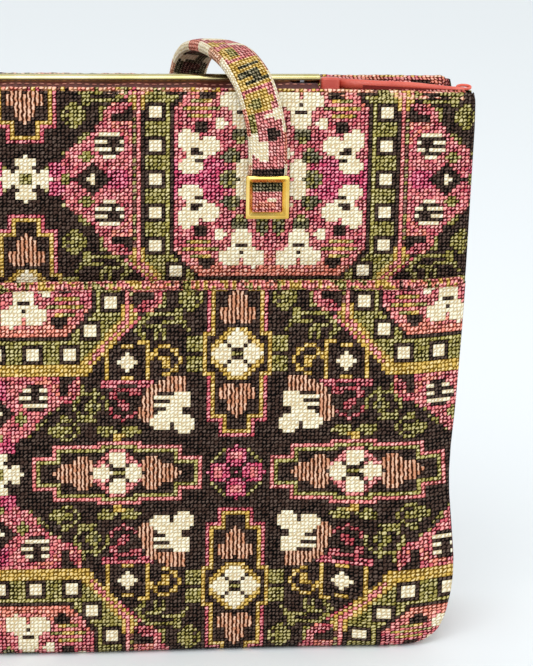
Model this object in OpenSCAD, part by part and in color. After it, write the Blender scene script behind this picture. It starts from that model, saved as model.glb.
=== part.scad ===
// Box purse: a stiff tapestry handbag with an open pocket across the front, side gussets that
// fold in at the top, a hinged inner frame with two brass bars, and two padded strap handles.
// X runs to the right, Y from front to back and Z up. The origin is the middle of the base.

/* [Body] */
// Width of the bag
bag_w = 320; // [280:1:360]
// Height of the walls
bag_h = 203; // [185:1:230]
// Depth from the front face to the back face
bag_d = 50; // [44:1:70]
// Width of the rounded bottom corner, seen from the front
corner_w = 25; // [12:1:40]
// Height of the rounded bottom corner, seen from the front
corner_h = 34; // [12:1:50]
// Radius of the rounded top corner of a wall
top_r = 3; // [1:0.5:8]
// Radius of the long bottom edges
edge_r = 5; // [2:0.5:8]

/* [Layers] */
// Thickness of the tapestry cover
cover_t = 1.2; // [0.8:0.1:2]
// Thickness of the stiffening board
board_t = 1.6; // [1:0.1:3]
// Thickness of the leather lining
lining_t = 0.8; // [0.5:0.1:1.5]

/* [Gusset] */
// How far the side folds in at the top
fold_in = 39; // [20:1:45]
// Height at which the fold starts
fold_low = 34; // [20:1:80]

/* [Pocket] */
// Height of the front pocket's rim
pocket_h = 136; // [100:1:150]
// Free depth inside the pocket
pocket_gap = 4.8; // [4.4:0.1:10]
// Thickness of the pocket's tapestry
pocket_cover_t = 1.2; // [0.8:0.1:2]
// Thickness of the pocket's lining
pocket_lining_t = 0.6; // [0.4:0.1:1]
// Width over which each side of the pocket slopes back to the wall
pocket_slope = 19; // [12:1:40]
// Height of the closed floor of the pocket
pocket_floor = 10; // [6:1:20]
// Height of the rolled rim
rim_h = 3.2; // [2:0.1:6]
// How far the rolled rim stands out
rim_out = 0.6; // [0.3:0.1:1.5]

/* [Frame] */
// Depth of one brass bar
bar_d = 2; // [1.6:0.1:3]
// Height of a brass bar
bar_h = 2; // [1.6:0.1:4]
// Gap between the two closed bars
bar_gap = 0.2; // [0.1:0.05:0.6]
// Height of the top of the bars above the rim
bar_rise = 2.6; // [0:0.1:4]
// Distance from the hinge pin to the bottom of the bars
arm_l = 37.6; // [30:0.2:45]
// Thickness of a frame arm
arm_t = 1.4; // [1:0.1:2]
// Side clearance between the moving arms
arm_gap = 0.4; // [0.2:0.05:0.8]
// Radius of the round end of an arm
arm_r = 3.2; // [2.6:0.1:4]
// Radius of the hinge pin
pin_r = 1.2; // [0.8:0.1:1.5]
// Radial clearance of the hinge pin
pin_gap = 0.05; // [0.02:0.01:0.1]
// Thickness of the leather flange between a wall and its bar
flange_t = 0.8; // [0.5:0.1:1.5]
// Depth of the flange's shallow valley below the rim
flange_dip = 6; // [3:0.5:12]
// Width of the leather tab at the end of the bars
tab_w = 5.2; // [4:0.1:8]
// Length of the leather tab, from the bars' end to the fold of the gusset
tab_l = 6.6; // [6:0.1:12]
// How far the leather tab reaches below the hinge pin
tab_below = 6; // [3:0.5:12]

/* [Handles] */
// Distance of a handle mount from the side of the bag
mount_in = 71; // [60:1:85]
// Depth of the centre of a handle mount below the rim
mount_drop = 37; // [28:1:46]
// Outer size of the square brass mount
mount_s = 15; // [13:0.5:20]
// Width of each side of the square brass mount
mount_bar = 2.4; // [1.8:0.1:4]
// Thickness of the brass mount
mount_t = 2; // [1.5:0.1:3]
// Thickness of the sewn strap end behind the mount
anchor_t = 2; // [1.2:0.1:3]
// Width of a strap handle
strap_w = 12.5; // [8:0.5:14]
// Thickness of a strap handle
strap_t = 5; // [3:0.5:6]
// Gap between a strap and the bag that it lies on
strap_gap = 0.4; // [0.3:0.05:1]
// Height of the front handle's arch above the rim
arch_h = 12; // [8:0.5:25]
// How far each leg of the front handle leans to the middle behind the bag
arch_lean = 25; // [20:1:30]
// Drop of the front handle behind the back wall
front_drop = 61; // [45:1:65]
// Drop of the back handle below its mounts
back_drop = 100; // [96:1:110]

/* [Pattern] */
// Size of the repeating figure
repeat = 169; // [140:1:200]
// Depth of the rose field's centre below the rim
wall_figure_drop = 33; // [20:1:50]
// Height of the dark medallion's centre on the pocket
pocket_figure_z = 66; // [50:1:80]
// Sideways shift of the front wall's figure
wall_figure_x = 3; // [-20:1:20]
// Sideways shift of the pocket's figure
pocket_figure_x = -9; // [-20:1:20]
// Height that a coloured figure stands proud of the cloth
relief_t = 0.3; // [0.2:0.05:0.5]

/* [Hidden] */
$fn = 48;
eps = 0.01;
far = 900;

wall_t = cover_t + board_t + lining_t;
half_w = bag_w / 2;
half_d = bag_d / 2;
inner_d = half_d - wall_t;
gusset_t = cover_t + lining_t;
pocket_t = pocket_cover_t + pocket_lining_t;
pocket_y = half_d + pocket_gap;
corner_steps = 12;

fold_len = norm([fold_in, inner_d]);
fold_shift = fold_len / inner_d;
fold_widen = fold_len / fold_in;
fold_rise = (bag_h - fold_low) / fold_in;
fold_inner_x = half_w - fold_in - gusset_t * fold_shift;

bar_top = bag_h + bar_rise;
bar_low = bar_top - bar_h;
pin_z = bar_low - arm_l;
bar_in = bar_gap / 2;
bar_out = bar_in + bar_d;
seat_gap = 0.3;
tab_x1 = fold_inner_x - seat_gap;
tab_x0 = tab_x1 - tab_l;
bar_l = 2 * (tab_x0 - arm_gap);
pin_collar = 4;
back_arm_x = tab_x0 - pin_collar - arm_gap - arm_t;
front_arm_x = back_arm_x - arm_t - arm_gap;
pin_head_r = pin_r + 1;
pin_head = 0.9;
pin_seat = 0.5;
flange_gap = 0.6;
flange_l = 2 * (front_arm_x - flange_gap);
flange_turn = 1.2;
flange_step = 0.4;
tab_drop = 0.5;

mount_x = half_w - mount_in;
mount_z = bag_h - mount_drop;
wall_figure_z = bag_h - wall_figure_drop;
strap_y = half_d + relief_t + strap_gap + strap_t / 2;
strap_clear = 3.2;
strap_z0 = mount_z + mount_s / 2 + strap_clear;
strap_z1 = mount_z - mount_s / 2 - strap_clear;
anchor_over = 0.5;
anchor_half = mount_s / 2 + anchor_over;
swing_gap = 1;
swing_r = norm([half_d + relief_t + strap_y, bag_h - strap_z0]) + strap_t / 2 + swing_gap;
mount_bevel = 0.8;
window_margin = 2;
wall_region_top = bag_h - top_r;

cover_colour = [0.19, 0.14, 0.13];
rose_colour = [0.75, 0.31, 0.38];
olive_colour = [0.47, 0.48, 0.20];
cream_colour = [0.91, 0.88, 0.74];
leather_colour = [0.80, 0.32, 0.25];
board_colour = [0.66, 0.60, 0.50];
brass_colour = [0.84, 0.69, 0.32];
steel_colour = [0.70, 0.71, 0.72];

// Points of a quarter ellipse about a centre, from angle a0 to a1
function arc(cx, cy, rx, ry, a0, a1) =
    [for (i = [0:corner_steps]) let (a = a0 + (a1 - a0) * i / corner_steps)
        [cx + rx * cos(a), cy + ry * sin(a)]];

// Front view of a layer that lies a distance inside the outline
module front_outline(inset, top) {
    w = half_w - inset;
    r = max(top_r - inset, 0.5);
    polygon(concat(
        arc(w - corner_w + inset, corner_h, corner_w - inset, corner_h - inset, -90, 0),
        arc(w - r, top - r, r, r, 0, 90),
        arc(-w + r, top - r, r, r, 90, 180),
        arc(-w + corner_w - inset, corner_h, corner_w - inset, corner_h - inset, 180, 270)
    ));
}

// Side view of a layer that lies a distance inside the outline
module side_outline(inset, top, front) {
    y0 = -front + inset;
    y1 = half_d - inset;
    r = edge_r - inset;
    polygon(concat(
        arc(y1 - r, inset + r, r, r, -90, 0),
        [[y1, top], [y0, top]],
        arc(y0 + r, inset + r, r, r, 180, 270)
    ));
}

module across(length) {
    rotate([90, 0, 0])
        linear_extrude(length, center = true)
            children();
}

module along(length) {
    rotate([90, 0, 90])
        linear_extrude(length, center = true)
            children();
}

// Solid body of the bag, a distance inside its outer skin
module block(inset, top) {
    intersection() {
        across(far) front_outline(inset, top);
        along(far) side_outline(inset, top, half_d);
    }
}

// Everything between two depths
module depth_zone(y0, y1) {
    translate([-far / 2, y0, -far / 2])
        cube([far, y1 - y0, far]);
}

// Cover of the front wall, a shallow tray turned over the board's edges
module wall_cover() {
    difference() {
        intersection() {
            block(0, bag_h);
            depth_zone(-half_d - 1, -inner_d);
        }
        intersection() {
            block(cover_t, bag_h - cover_t);
            depth_zone(-half_d, -inner_d + 1);
        }
    }
}

module front_cover() {
    color(cover_colour) wall_cover();
}

module back_cover() {
    color(cover_colour) mirror([0, 1, 0]) wall_cover();
}

// One inner layer of the front wall
module wall_layer(outer, inner) {
    intersection() {
        block(cover_t, bag_h - cover_t);
        depth_zone(-half_d + outer, -half_d + inner);
    }
}

module front_board() {
    color(board_colour) wall_layer(cover_t, cover_t + board_t);
}

module back_board() {
    color(board_colour) mirror([0, 1, 0]) wall_layer(cover_t, cover_t + board_t);
}

module front_lining() {
    color(leather_colour) wall_layer(cover_t + board_t, wall_t);
}

module back_lining() {
    color(leather_colour) mirror([0, 1, 0]) wall_layer(cover_t + board_t, wall_t);
}

// One layer of the base, between the walls and the gussets
module base_layer(low, high) {
    intersection() {
        block(0, bag_h);
        translate([-half_w + corner_w, -inner_d, low])
            cube([bag_w - 2 * corner_w, 2 * inner_d, high - low]);
    }
}

module base_cover() {
    color(cover_colour) base_layer(0, cover_t);
}

module base_board() {
    color(board_colour) base_layer(cover_t, cover_t + board_t);
}

module base_lining() {
    color(leather_colour) base_layer(cover_t + board_t, wall_t);
}

// The wedge of air that the right gusset folds around, grown by a distance
module fold_wedge(grow) {
    crest = [half_w - fold_in - grow * fold_shift, 0, bag_h];
    foot = [half_w, 0, fold_low - grow * fold_shift * fold_rise];
    lip = inner_d + grow * fold_widen;
    scale_up = 1.5;
    reach = [30, 0, 0];
    polyhedron(
        points = [
            foot,
            foot + scale_up * (crest - foot),
            foot + scale_up * ([half_w, -lip, bag_h] - foot),
            foot + scale_up * ([half_w, lip, bag_h] - foot),
            foot + reach,
            foot + reach + scale_up * ([half_w, -lip, bag_h] - foot),
            foot + reach + scale_up * ([half_w, lip, bag_h] - foot)
        ],
        faces = [
            [0, 1, 2], [0, 3, 1], [1, 3, 6, 5, 2], [0, 2, 5, 4], [0, 4, 6, 3], [4, 5, 6]
        ]
    );
}

// Solid behind one skin of the folded side
module fold_solid(inset, top) {
    difference() {
        across(far) front_outline(inset, top);
        fold_wedge(inset);
    }
}

// One layer of the right gusset, between the walls
module gusset_layer(outer, inner) {
    difference() {
        intersection() {
            fold_solid(outer, bag_h);
            depth_zone(-inner_d, inner_d);
            translate([0, -half_d, 0])
                cube([half_w, bag_d, bag_h]);
        }
        fold_solid(inner, bag_h + 20);
        translate([-eps, -half_d, -eps])
            cube([half_w - corner_w + eps, bag_d, corner_h / 2]);
    }
}

module right_gusset() {
    color(cover_colour) gusset_layer(0, cover_t);
}

module left_gusset() {
    color(cover_colour) mirror([1, 0, 0]) gusset_layer(0, cover_t);
}

module right_gusset_lining() {
    color(leather_colour) gusset_layer(cover_t, gusset_t);
}

module left_gusset_lining() {
    color(leather_colour) mirror([1, 0, 0]) gusset_layer(cover_t, gusset_t);
}

// Plan of the pocket, a distance in from its outer face
module pocket_plan(inset, side) {
    y = -pocket_y - pocket_t + inset;
    x = half_w - side;
    polygon([
        [-x, -half_d], [-x, -half_d - eps], [-x + pocket_slope, y],
        [x - pocket_slope, y], [x, -half_d - eps], [x, -half_d]
    ]);
}

module pocket_body(inset, side, low) {
    intersection() {
        translate([0, 0, low])
            linear_extrude(pocket_h - low + (inset > 0 ? 1 : 0))
                pocket_plan(inset, side);
        across(far) front_outline(inset, far / 2);
        along(far) side_outline(inset, far / 2, pocket_y + pocket_t);
    }
}

// The rim's rolled edge stands a little proud of the pocket's face
module pocket_rim() {
    translate([0, 0, pocket_h - rim_h])
        linear_extrude(rim_h)
            pocket_plan(-rim_out, 0);
}

module pocket_cover() {
    color(cover_colour)
        difference() {
            union() {
                pocket_body(0, 0, 0);
                pocket_rim();
            }
            pocket_body(pocket_cover_t, pocket_cover_t, pocket_floor - pocket_lining_t);
        }
}

module pocket_lining() {
    color(leather_colour)
        intersection() {
            difference() {
                pocket_body(pocket_cover_t, pocket_cover_t, pocket_floor - pocket_lining_t);
                pocket_body(pocket_t, pocket_t, pocket_floor);
            }
            translate([-half_w, -far / 2, 0])
                cube([bag_w, far, pocket_h]);
        }
}

// An octagon with cut corners, by its half width
module octagon(half, cut) {
    polygon([
        [half, half - cut], [half - cut, half], [cut - half, half], [-half, half - cut],
        [-half, cut - half], [cut - half, -half], [half - cut, -half], [half, cut - half]
    ]);
}

field_half = repeat * 0.208;
field_cut = repeat * 0.057;
band_in = repeat * 0.216;
band_out = repeat * 0.292;
band_cut = repeat * 0.1;
square_at = repeat * 0.248;
square_corner = repeat * 0.196;
square_pitch = repeat * 0.0745;
square_size = repeat * 0.025;
petal_r = repeat * 0.017;
cartouche_at = repeat * 0.25;
cartouche_l = repeat * 0.35;
cartouche_w = repeat * 0.118;
cartouche_line = repeat * 0.012;
cut_gap = 0.3;

// Cream flower with round petals about its middle
module petals(count, r, grow) {
    for (i = [0:count - 1])
        rotate(i * 360 / count)
            translate([0, r])
                circle(r * 1.1 + grow, $fn = 12);
}

module rose_figure() {
    difference() {
        octagon(field_half, field_cut);
        cream_figure(cut_gap);
    }
    for (a = [0:90:270])
        rotate(a)
            translate([repeat / 2, 0])
                octagon(repeat * 0.08, repeat * 0.03);
}

module olive_figure() {
    difference() {
        octagon(band_out, band_cut);
        octagon(band_in, field_cut);
        cream_squares(cut_gap);
    }
}

module cream_squares(grow) {
    for (a = [0:90:270]) {
        for (i = [-2:2])
            rotate(a)
                translate([square_at, i * square_pitch])
                    square(square_size + 2 * grow, center = true);
        rotate(a)
            translate([square_corner, square_corner])
                square(square_size + 2 * grow, center = true);
    }
}

module cream_figure(grow) {
    for (a = [0:90:270], s = [-1, 1])
        rotate(a)
            translate([repeat * 0.157, s * repeat * 0.055])
                rotate(-90)
                    petals(3, petal_r, grow);
    petals(4, petal_r, grow);
}

// Four framed bars about the middle of a dark medallion
module cartouches() {
    for (a = [0:90:270])
        rotate(a)
            translate([cartouche_at, 0])
                difference() {
                    square([cartouche_l, cartouche_w], center = true);
                    square([cartouche_l - 2 * cartouche_line, cartouche_w - 2 * cartouche_line], center = true);
                }
    octagon(repeat * 0.045, repeat * 0.03);
}

module medallion_flowers() {
    for (a = [0:90:270])
        rotate(a) {
            translate([cartouche_at, 0])
                petals(4, petal_r, 0);
            translate([repeat * 0.135, repeat * 0.135])
                petals(3, petal_r, 0);
        }
}

// Places its children at each rose field around a centre
module at_fields(cx, cz) {
    for (i = [-1:1], k = [-1:1])
        translate([cx + (i + 0.5) * repeat, cz + k * repeat])
            children();
}

// Places its children at each dark medallion around a centre
module at_medallions(cx, cz) {
    for (i = [-1:1], k = [-1:0])
        translate([cx + i * repeat, cz + (k + 0.5) * repeat])
            children();
}

module rose_pattern(cx, cz) {
    at_fields(cx, cz) rose_figure();
    at_medallions(cx, cz) cartouches();
}

module olive_pattern(cx, cz) {
    at_fields(cx, cz) olive_figure();
}

module cream_pattern(cx, cz) {
    at_fields(cx, cz) {
        cream_squares(0);
        cream_figure(0);
    }
    at_medallions(cx, cz) medallion_flowers();
}

// Part of a wall that carries the pattern, from a height to the rim
module wall_window(low) {
    intersection() {
        front_outline(window_margin, wall_region_top);
        translate([-far / 2, low])
            square(far);
    }
}

module pocket_window() {
    intersection() {
        front_outline(window_margin, far / 2);
        x = half_w - pocket_slope - window_margin;
        translate([-x, edge_r + window_margin])
            square([2 * x, pocket_h - rim_h - edge_r - 1.5 * window_margin]);
    }
}

// A coloured figure laid on a face at a given depth
module inlay(y) {
    translate([0, y, 0])
        rotate([90, 0, 0])
            linear_extrude(relief_t)
                intersection() {
                    children(0);
                    children(1);
                }
}

module front_inlay() {
    inlay(-half_d) {
        wall_window(pocket_h + 1);
        children();
    }
}

module pocket_inlay() {
    inlay(-pocket_y - pocket_t) {
        pocket_window();
        children();
    }
}

module back_inlay() {
    mirror([0, 1, 0])
        inlay(-half_d) {
            wall_window(edge_r + 1);
            children();
        }
}

pocket_field_z = pocket_figure_z + repeat / 2;
pocket_field_x = pocket_figure_x - repeat / 2;

module front_rose_fields() {
    color(rose_colour) front_inlay() rose_pattern(wall_figure_x, wall_figure_z);
}

module front_olive_bands() {
    color(olive_colour) front_inlay() olive_pattern(wall_figure_x, wall_figure_z);
}

module front_cream_flowers() {
    color(cream_colour) front_inlay() cream_pattern(wall_figure_x, wall_figure_z);
}

module pocket_rose_fields() {
    color(rose_colour) pocket_inlay() rose_pattern(pocket_field_x, pocket_field_z);
}

module pocket_olive_bands() {
    color(olive_colour) pocket_inlay() olive_pattern(pocket_field_x, pocket_field_z);
}

module pocket_cream_flowers() {
    color(cream_colour) pocket_inlay() cream_pattern(pocket_field_x, pocket_field_z);
}

module back_rose_fields() {
    color(rose_colour) back_inlay() rose_pattern(wall_figure_x, wall_figure_z);
}

module back_olive_bands() {
    color(olive_colour) back_inlay() olive_pattern(wall_figure_x, wall_figure_z);
}

module back_cream_flowers() {
    color(cream_colour) back_inlay() cream_pattern(wall_figure_x, wall_figure_z);
}

// Brass bar with a rounded outer edge
module bar() {
    r = min(bar_d, bar_h) * 0.45;
    along(bar_l)
        union() {
            translate([-bar_out, bar_low])
                square([bar_d, bar_h - r]);
            translate([-bar_out + r, bar_low])
                square([bar_d - r, bar_h]);
            translate([-bar_out + r, bar_top - r])
                circle(r);
        }
}

module front_bar() {
    color(brass_colour) bar();
}

module back_bar() {
    color(brass_colour) mirror([0, 1, 0]) bar();
}

// Frame arm, from its round hinge eye up to the bottom of its bar
module arm(x) {
    translate([x + arm_t / 2, 0, 0])
        along(arm_t)
            difference() {
                union() {
                    translate([0, pin_z])
                        circle(arm_r);
                    polygon([
                        [-arm_r, pin_z], [arm_r, pin_z], [-bar_in, pin_z + 4 * arm_r],
                        [-bar_in, bar_low], [-bar_out, bar_low], [-bar_out - 0.4, pin_z + 3 * arm_r]
                    ]);
                }
                translate([0, pin_z])
                    circle(pin_r + pin_gap);
            }
}

module front_right_arm() {
    color(steel_colour) arm(front_arm_x);
}

module front_left_arm() {
    color(steel_colour) mirror([1, 0, 0]) arm(front_arm_x);
}

module back_right_arm() {
    color(steel_colour) mirror([0, 1, 0]) arm(back_arm_x);
}

module back_left_arm() {
    color(steel_colour) rotate(180) arm(back_arm_x);
}

// Hinge pin with a head inside the arms and a collar outside them
module hinge_pin() {
    start = front_arm_x - arm_gap - pin_head;
    translate([start, 0, pin_z])
        rotate([0, 90, 0])
            cylinder(r = pin_head_r, h = pin_head);
    translate([start, 0, pin_z])
        rotate([0, 90, 0])
            cylinder(r = pin_r, h = tab_x1 - pin_seat - start);
    translate([back_arm_x + arm_t + arm_gap, 0, pin_z])
        rotate([0, 90, 0])
            cylinder(r = pin_head_r, h = tab_x0 - back_arm_x - arm_t - arm_gap);
}

module right_hinge_pin() {
    color(steel_colour) hinge_pin();
}

module left_hinge_pin() {
    color(steel_colour) mirror([1, 0, 0]) hinge_pin();
}

// Leather tab that carries the pin and closes the end of the frame
module hinge_tab() {
    low = pin_z - tab_below;
    difference() {
        translate([tab_x0, -tab_w / 2, low])
            cube([tab_l, tab_w, bag_h - tab_drop - low]);
        translate([tab_x0 - 1, 0, pin_z])
            rotate([0, 90, 0])
                cylinder(r = pin_r, h = tab_l + 1 - pin_seat);
    }
}

module right_hinge_tab() {
    color(leather_colour) hinge_tab();
}

module left_hinge_tab() {
    color(leather_colour) mirror([1, 0, 0]) hinge_tab();
}

// Leather flange from the inside of the wall, through a shallow valley, to its bar
module flange() {
    y0 = -inner_d;
    y1 = -(inner_d + bar_out) / 2;
    y2 = -bar_out;
    z0 = bag_h - cover_t - flange_turn;
    z1 = bag_h - flange_dip;
    z2 = bar_low;
    along(flange_l)
        polygon([
            [y0, z0], [y1, z1], [y2, z2 - flange_step], [y2, z2], [-bar_in, z2],
            [-bar_in, z2 - flange_t], [y2, z2 - flange_t - flange_step], [y1, z1 - flange_t],
            [y0, z0 - flange_t]
        ]);
}

module front_flange() {
    color(leather_colour) flange();
}

module back_flange() {
    color(leather_colour) mirror([0, 1, 0]) flange();
}

// Section of the brass mount: flat at the back, bevelled on both sides of its face
module bevelled_square(size, bevel) {
    intersection() {
        along(far)
            polygon([
                [0, -size / 2], [0, size / 2], [-mount_t + bevel, size / 2],
                [-mount_t, size / 2 - bevel], [-mount_t, bevel - size / 2], [-mount_t + bevel, -size / 2]
            ]);
        linear_extrude(far, center = true)
            polygon([
                [-size / 2, 0], [size / 2, 0], [size / 2, -mount_t + bevel],
                [size / 2 - bevel, -mount_t], [bevel - size / 2, -mount_t], [-size / 2, -mount_t + bevel]
            ]);
    }
}

// Square brass frame that holds a strap end to the front wall
module mount(x) {
    window = mount_s - 2 * mount_bar;
    translate([x, -half_d - relief_t - anchor_t, mount_z])
        difference() {
            bevelled_square(mount_s, mount_bevel);
            cube([window, 3 * mount_t, window], center = true);
        }
}

module front_right_mount() {
    color(brass_colour) mount(mount_x);
}

module front_left_mount() {
    color(brass_colour) mount(-mount_x);
}

module back_right_mount() {
    color(brass_colour) mirror([0, 1, 0]) mount(mount_x);
}

module back_left_mount() {
    color(brass_colour) mirror([0, 1, 0]) mount(-mount_x);
}

// Sewn end of a strap, flat behind its mount
module strap_end(x) {
    translate([x - strap_w / 2, -half_d - relief_t - anchor_t, mount_z - anchor_half])
        cube([strap_w, anchor_t, 2 * anchor_half]);
}

module front_right_strap_end() {
    color(rose_colour) strap_end(mount_x);
}

module front_left_strap_end() {
    color(rose_colour) strap_end(-mount_x);
}

module back_right_strap_end() {
    color(rose_colour) mirror([0, 1, 0]) strap_end(mount_x);
}

module back_left_strap_end() {
    color(rose_colour) mirror([0, 1, 0]) strap_end(-mount_x);
}

// Centre line of the right half of the front handle: up from its mount, over the top of the bag
// and down behind the back wall. Each entry is a point and the direction that the strap faces.
leg_x = mount_x - arch_lean;

// Depth of the strap behind the back wall, bowed so that it clears the rim as it swings up
function bow(z) = max(strap_y, sqrt(swing_r * swing_r - (z - strap_z0) * (z - strap_z0)) - strap_y);

front_route = [
    [[mount_x, -strap_y, strap_z0], [0, -1, 0]],
    [[mount_x - arch_lean * 0.02, -strap_y, bag_h - mount_drop * 0.42], [0, -1, 0]],
    [[mount_x - arch_lean * 0.1, -strap_y * 1.02, bag_h - arch_h * 0.5], [0, -1, 0.1]],
    [[mount_x - arch_lean * 0.23, -strap_y * 0.95, bag_h + arch_h * 0.25], [0, -0.85, 0.5]],
    [[mount_x - arch_lean * 0.44, -strap_y * 0.64, bag_h + arch_h * 0.83], [0, -0.45, 0.9]],
    [[mount_x - arch_lean * 0.65, -strap_y * 0.07, bag_h + arch_h], [0, 0, 1]],
    [[mount_x - arch_lean * 0.82, strap_y * 0.47, bag_h + arch_h * 0.88], [0, 0.25, 1]],
    [[mount_x - arch_lean * 0.94, strap_y * 0.86, bag_h + arch_h * 0.46], [0, 0.7, 0.7]],
    [[leg_x, bow(bag_h - arch_h * 0.17), bag_h - arch_h * 0.17], [0, 1, 0.1]],
    [[leg_x * 0.98, bow(bag_h - front_drop * 0.23), bag_h - front_drop * 0.23], [0, 1, 0]],
    [[leg_x * 0.91, bow(bag_h - front_drop * 0.51), bag_h - front_drop * 0.51], [0, 1, 0]],
    [[leg_x * 0.73, bow(bag_h - front_drop * 0.77), bag_h - front_drop * 0.77], [0, 1, 0]],
    [[leg_x * 0.45, strap_y, bag_h - front_drop * 0.94], [0, 1, 0]],
    [[0, strap_y, bag_h - front_drop], [0, 1, 0]]
];

// Centre line of the right half of the back handle, which hangs from its mounts
back_route = [
    [[mount_x, strap_y, strap_z1], [0, 1, 0]],
    [[mount_x * 0.995, strap_y, strap_z1 - back_drop * 0.18], [0, 1, 0]],
    [[mount_x * 0.985, strap_y, strap_z1 - back_drop * 0.36], [0, 1, 0]],
    [[mount_x * 0.93, strap_y, strap_z1 - back_drop * 0.56], [0, 1, 0]],
    [[mount_x * 0.81, strap_y, strap_z1 - back_drop * 0.76], [0, 1, 0]],
    [[mount_x * 0.57, strap_y, strap_z1 - back_drop * 0.92], [0, 1, 0]],
    [[mount_x * 0.27, strap_y, strap_z1 - back_drop * 0.985], [0, 1, 0]],
    [[0, strap_y, strap_z1 - back_drop], [0, 1, 0]]
];

// The whole route, with the left half mirrored
function whole(route) = concat(
    [for (p = route) p],
    [for (i = [len(route) - 2:-1:0]) [[-route[i][0][0], route[i][0][1], route[i][0][2]], route[i][1]]]
);

// Smooth curve through a list of points, with a number of steps between each pair
function curve_point(a, b, c, d, t) =
    0.5 * (2 * b + t * (c - a) + t * t * (2 * a - 5 * b + 4 * c - d) + t * t * t * (3 * b - 3 * c + d - a));
function smooth(list, steps) = [
    for (i = [0:len(list) - 2], k = [0:steps - (i == len(list) - 2 ? 0 : 1)])
        curve_point(list[max(i - 1, 0)], list[i], list[i + 1], list[min(i + 2, len(list) - 1)], k / steps)
];
function unit(v) = v / norm(v);

// Section of a strap: a rectangle with rounded edges
strap_section = [
    [-0.5, -0.18], [-0.42, -0.5], [0.42, -0.5], [0.5, -0.18],
    [0.5, 0.18], [0.42, 0.5], [-0.42, 0.5], [-0.5, 0.18]
];

// Padded strap swept along a route
module strap(route) {
    points = smooth([for (p = whole(route)) p[0]], 3);
    facing = smooth([for (p = whole(route)) p[1]], 3);
    last = len(points) - 1;
    sides = len(strap_section);
    rings = [
        for (i = [0:last])
            let (
                run = unit(points[min(i + 1, last)] - points[max(i - 1, 0)]),
                side = unit(cross(run, facing[i])),
                face = unit(cross(side, run))
            )
                for (s = strap_section)
                    points[i] + side * s[0] * strap_w + face * s[1] * strap_t
    ];
    polyhedron(
        points = rings,
        faces = concat(
            [[for (k = [sides - 1:-1:0]) k]],
            [for (i = [0:last - 1], k = [0:sides - 1])
                let (n = (k + 1) % sides)
                    [i * sides + k, i * sides + n, (i + 1) * sides + n, (i + 1) * sides + k]],
            [[for (k = [0:sides - 1]) last * sides + k]]
        )
    );
}

module front_handle() {
    color(rose_colour) strap(front_route);
}

module back_handle() {
    color(rose_colour) strap(back_route);
}

front_cover();
back_cover();
base_cover();
right_gusset();
left_gusset();
front_board();
back_board();
base_board();
front_lining();
back_lining();
base_lining();
right_gusset_lining();
left_gusset_lining();
pocket_cover();
pocket_lining();
front_rose_fields();
front_olive_bands();
front_cream_flowers();
pocket_rose_fields();
pocket_olive_bands();
pocket_cream_flowers();
back_rose_fields();
back_olive_bands();
back_cream_flowers();
front_bar();
back_bar();
front_right_arm();
front_left_arm();
back_right_arm();
back_left_arm();
right_hinge_pin();
left_hinge_pin();
right_hinge_tab();
left_hinge_tab();
front_flange();
back_flange();
front_right_mount();
front_left_mount();
back_right_mount();
back_left_mount();
front_right_strap_end();
front_left_strap_end();
back_right_strap_end();
back_left_strap_end();
front_handle();
back_handle();
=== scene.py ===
"""Box purse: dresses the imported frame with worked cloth, padded straps, leather and brass.

Lengths are in millimetres until a mesh is made, where they turn into metres. X runs to the right,
Y from front to back and Z up, as in the frame.
"""

import sys

import logging
import math
from contextlib import contextmanager
from dataclasses import dataclass, field
from enum import Enum
from typing import Iterator, Optional, Sequence, Union

import bmesh
import bpy
import numpy as np
from mathutils import Matrix, Vector


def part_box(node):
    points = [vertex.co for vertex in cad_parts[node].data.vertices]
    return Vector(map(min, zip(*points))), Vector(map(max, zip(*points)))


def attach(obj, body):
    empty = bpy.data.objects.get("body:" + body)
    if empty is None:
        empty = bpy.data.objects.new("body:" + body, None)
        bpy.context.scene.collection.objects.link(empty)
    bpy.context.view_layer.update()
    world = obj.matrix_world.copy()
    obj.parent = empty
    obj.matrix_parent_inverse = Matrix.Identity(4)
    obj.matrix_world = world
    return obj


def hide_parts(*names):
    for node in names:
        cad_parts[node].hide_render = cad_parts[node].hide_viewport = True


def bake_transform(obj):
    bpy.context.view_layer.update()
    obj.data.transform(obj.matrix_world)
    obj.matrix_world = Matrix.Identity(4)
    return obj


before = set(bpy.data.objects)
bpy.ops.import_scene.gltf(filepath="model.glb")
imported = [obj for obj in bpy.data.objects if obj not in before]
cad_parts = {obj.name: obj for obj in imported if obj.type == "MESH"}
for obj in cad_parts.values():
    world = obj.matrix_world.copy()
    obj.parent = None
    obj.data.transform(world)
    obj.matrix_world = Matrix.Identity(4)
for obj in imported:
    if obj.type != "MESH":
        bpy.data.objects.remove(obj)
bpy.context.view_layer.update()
LOG = logging.getLogger("box_purse")
MM = 0.001
FLOAT = "NodeSocketFloat"
YARN = "yarn"
STITCH_UV = "stitch"
SHELL = "shell"
Array = np.ndarray
Material = bpy.types.Material
Object = bpy.types.Object
Tree = bpy.types.NodeTree
Socket = bpy.types.NodeSocket
Value = Union[float, tuple, Socket]
UP = np.array([0.0, 0.0, 1.0])
DIAGONAL = 0.7071


# Yarns and the chart


class Yarn(Enum):
    """Yarns of the cloth, as sRGB colours of 0 to 255."""

    GROUND = (56, 36, 28)
    ROSE = (200, 66, 84)
    MAGENTA = (204, 46, 92)
    SALMON = (232, 122, 98)
    TAN = (188, 114, 74)
    OLIVE = (134, 122, 38)
    MOSS = (158, 146, 60)
    GOLD = (210, 168, 62)
    CREAM = (238, 231, 200)
    PINK = (228, 112, 112)
    RED = (178, 50, 64)
    PEACH = (234, 172, 136)
    LEAF = (84, 78, 44)
    RUST = (104, 52, 42)
    BLUSH = (222, 116, 116)

    @property
    def index(self) -> int:
        """Place of the yarn in the palette."""
        return list(Yarn).index(self)


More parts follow.
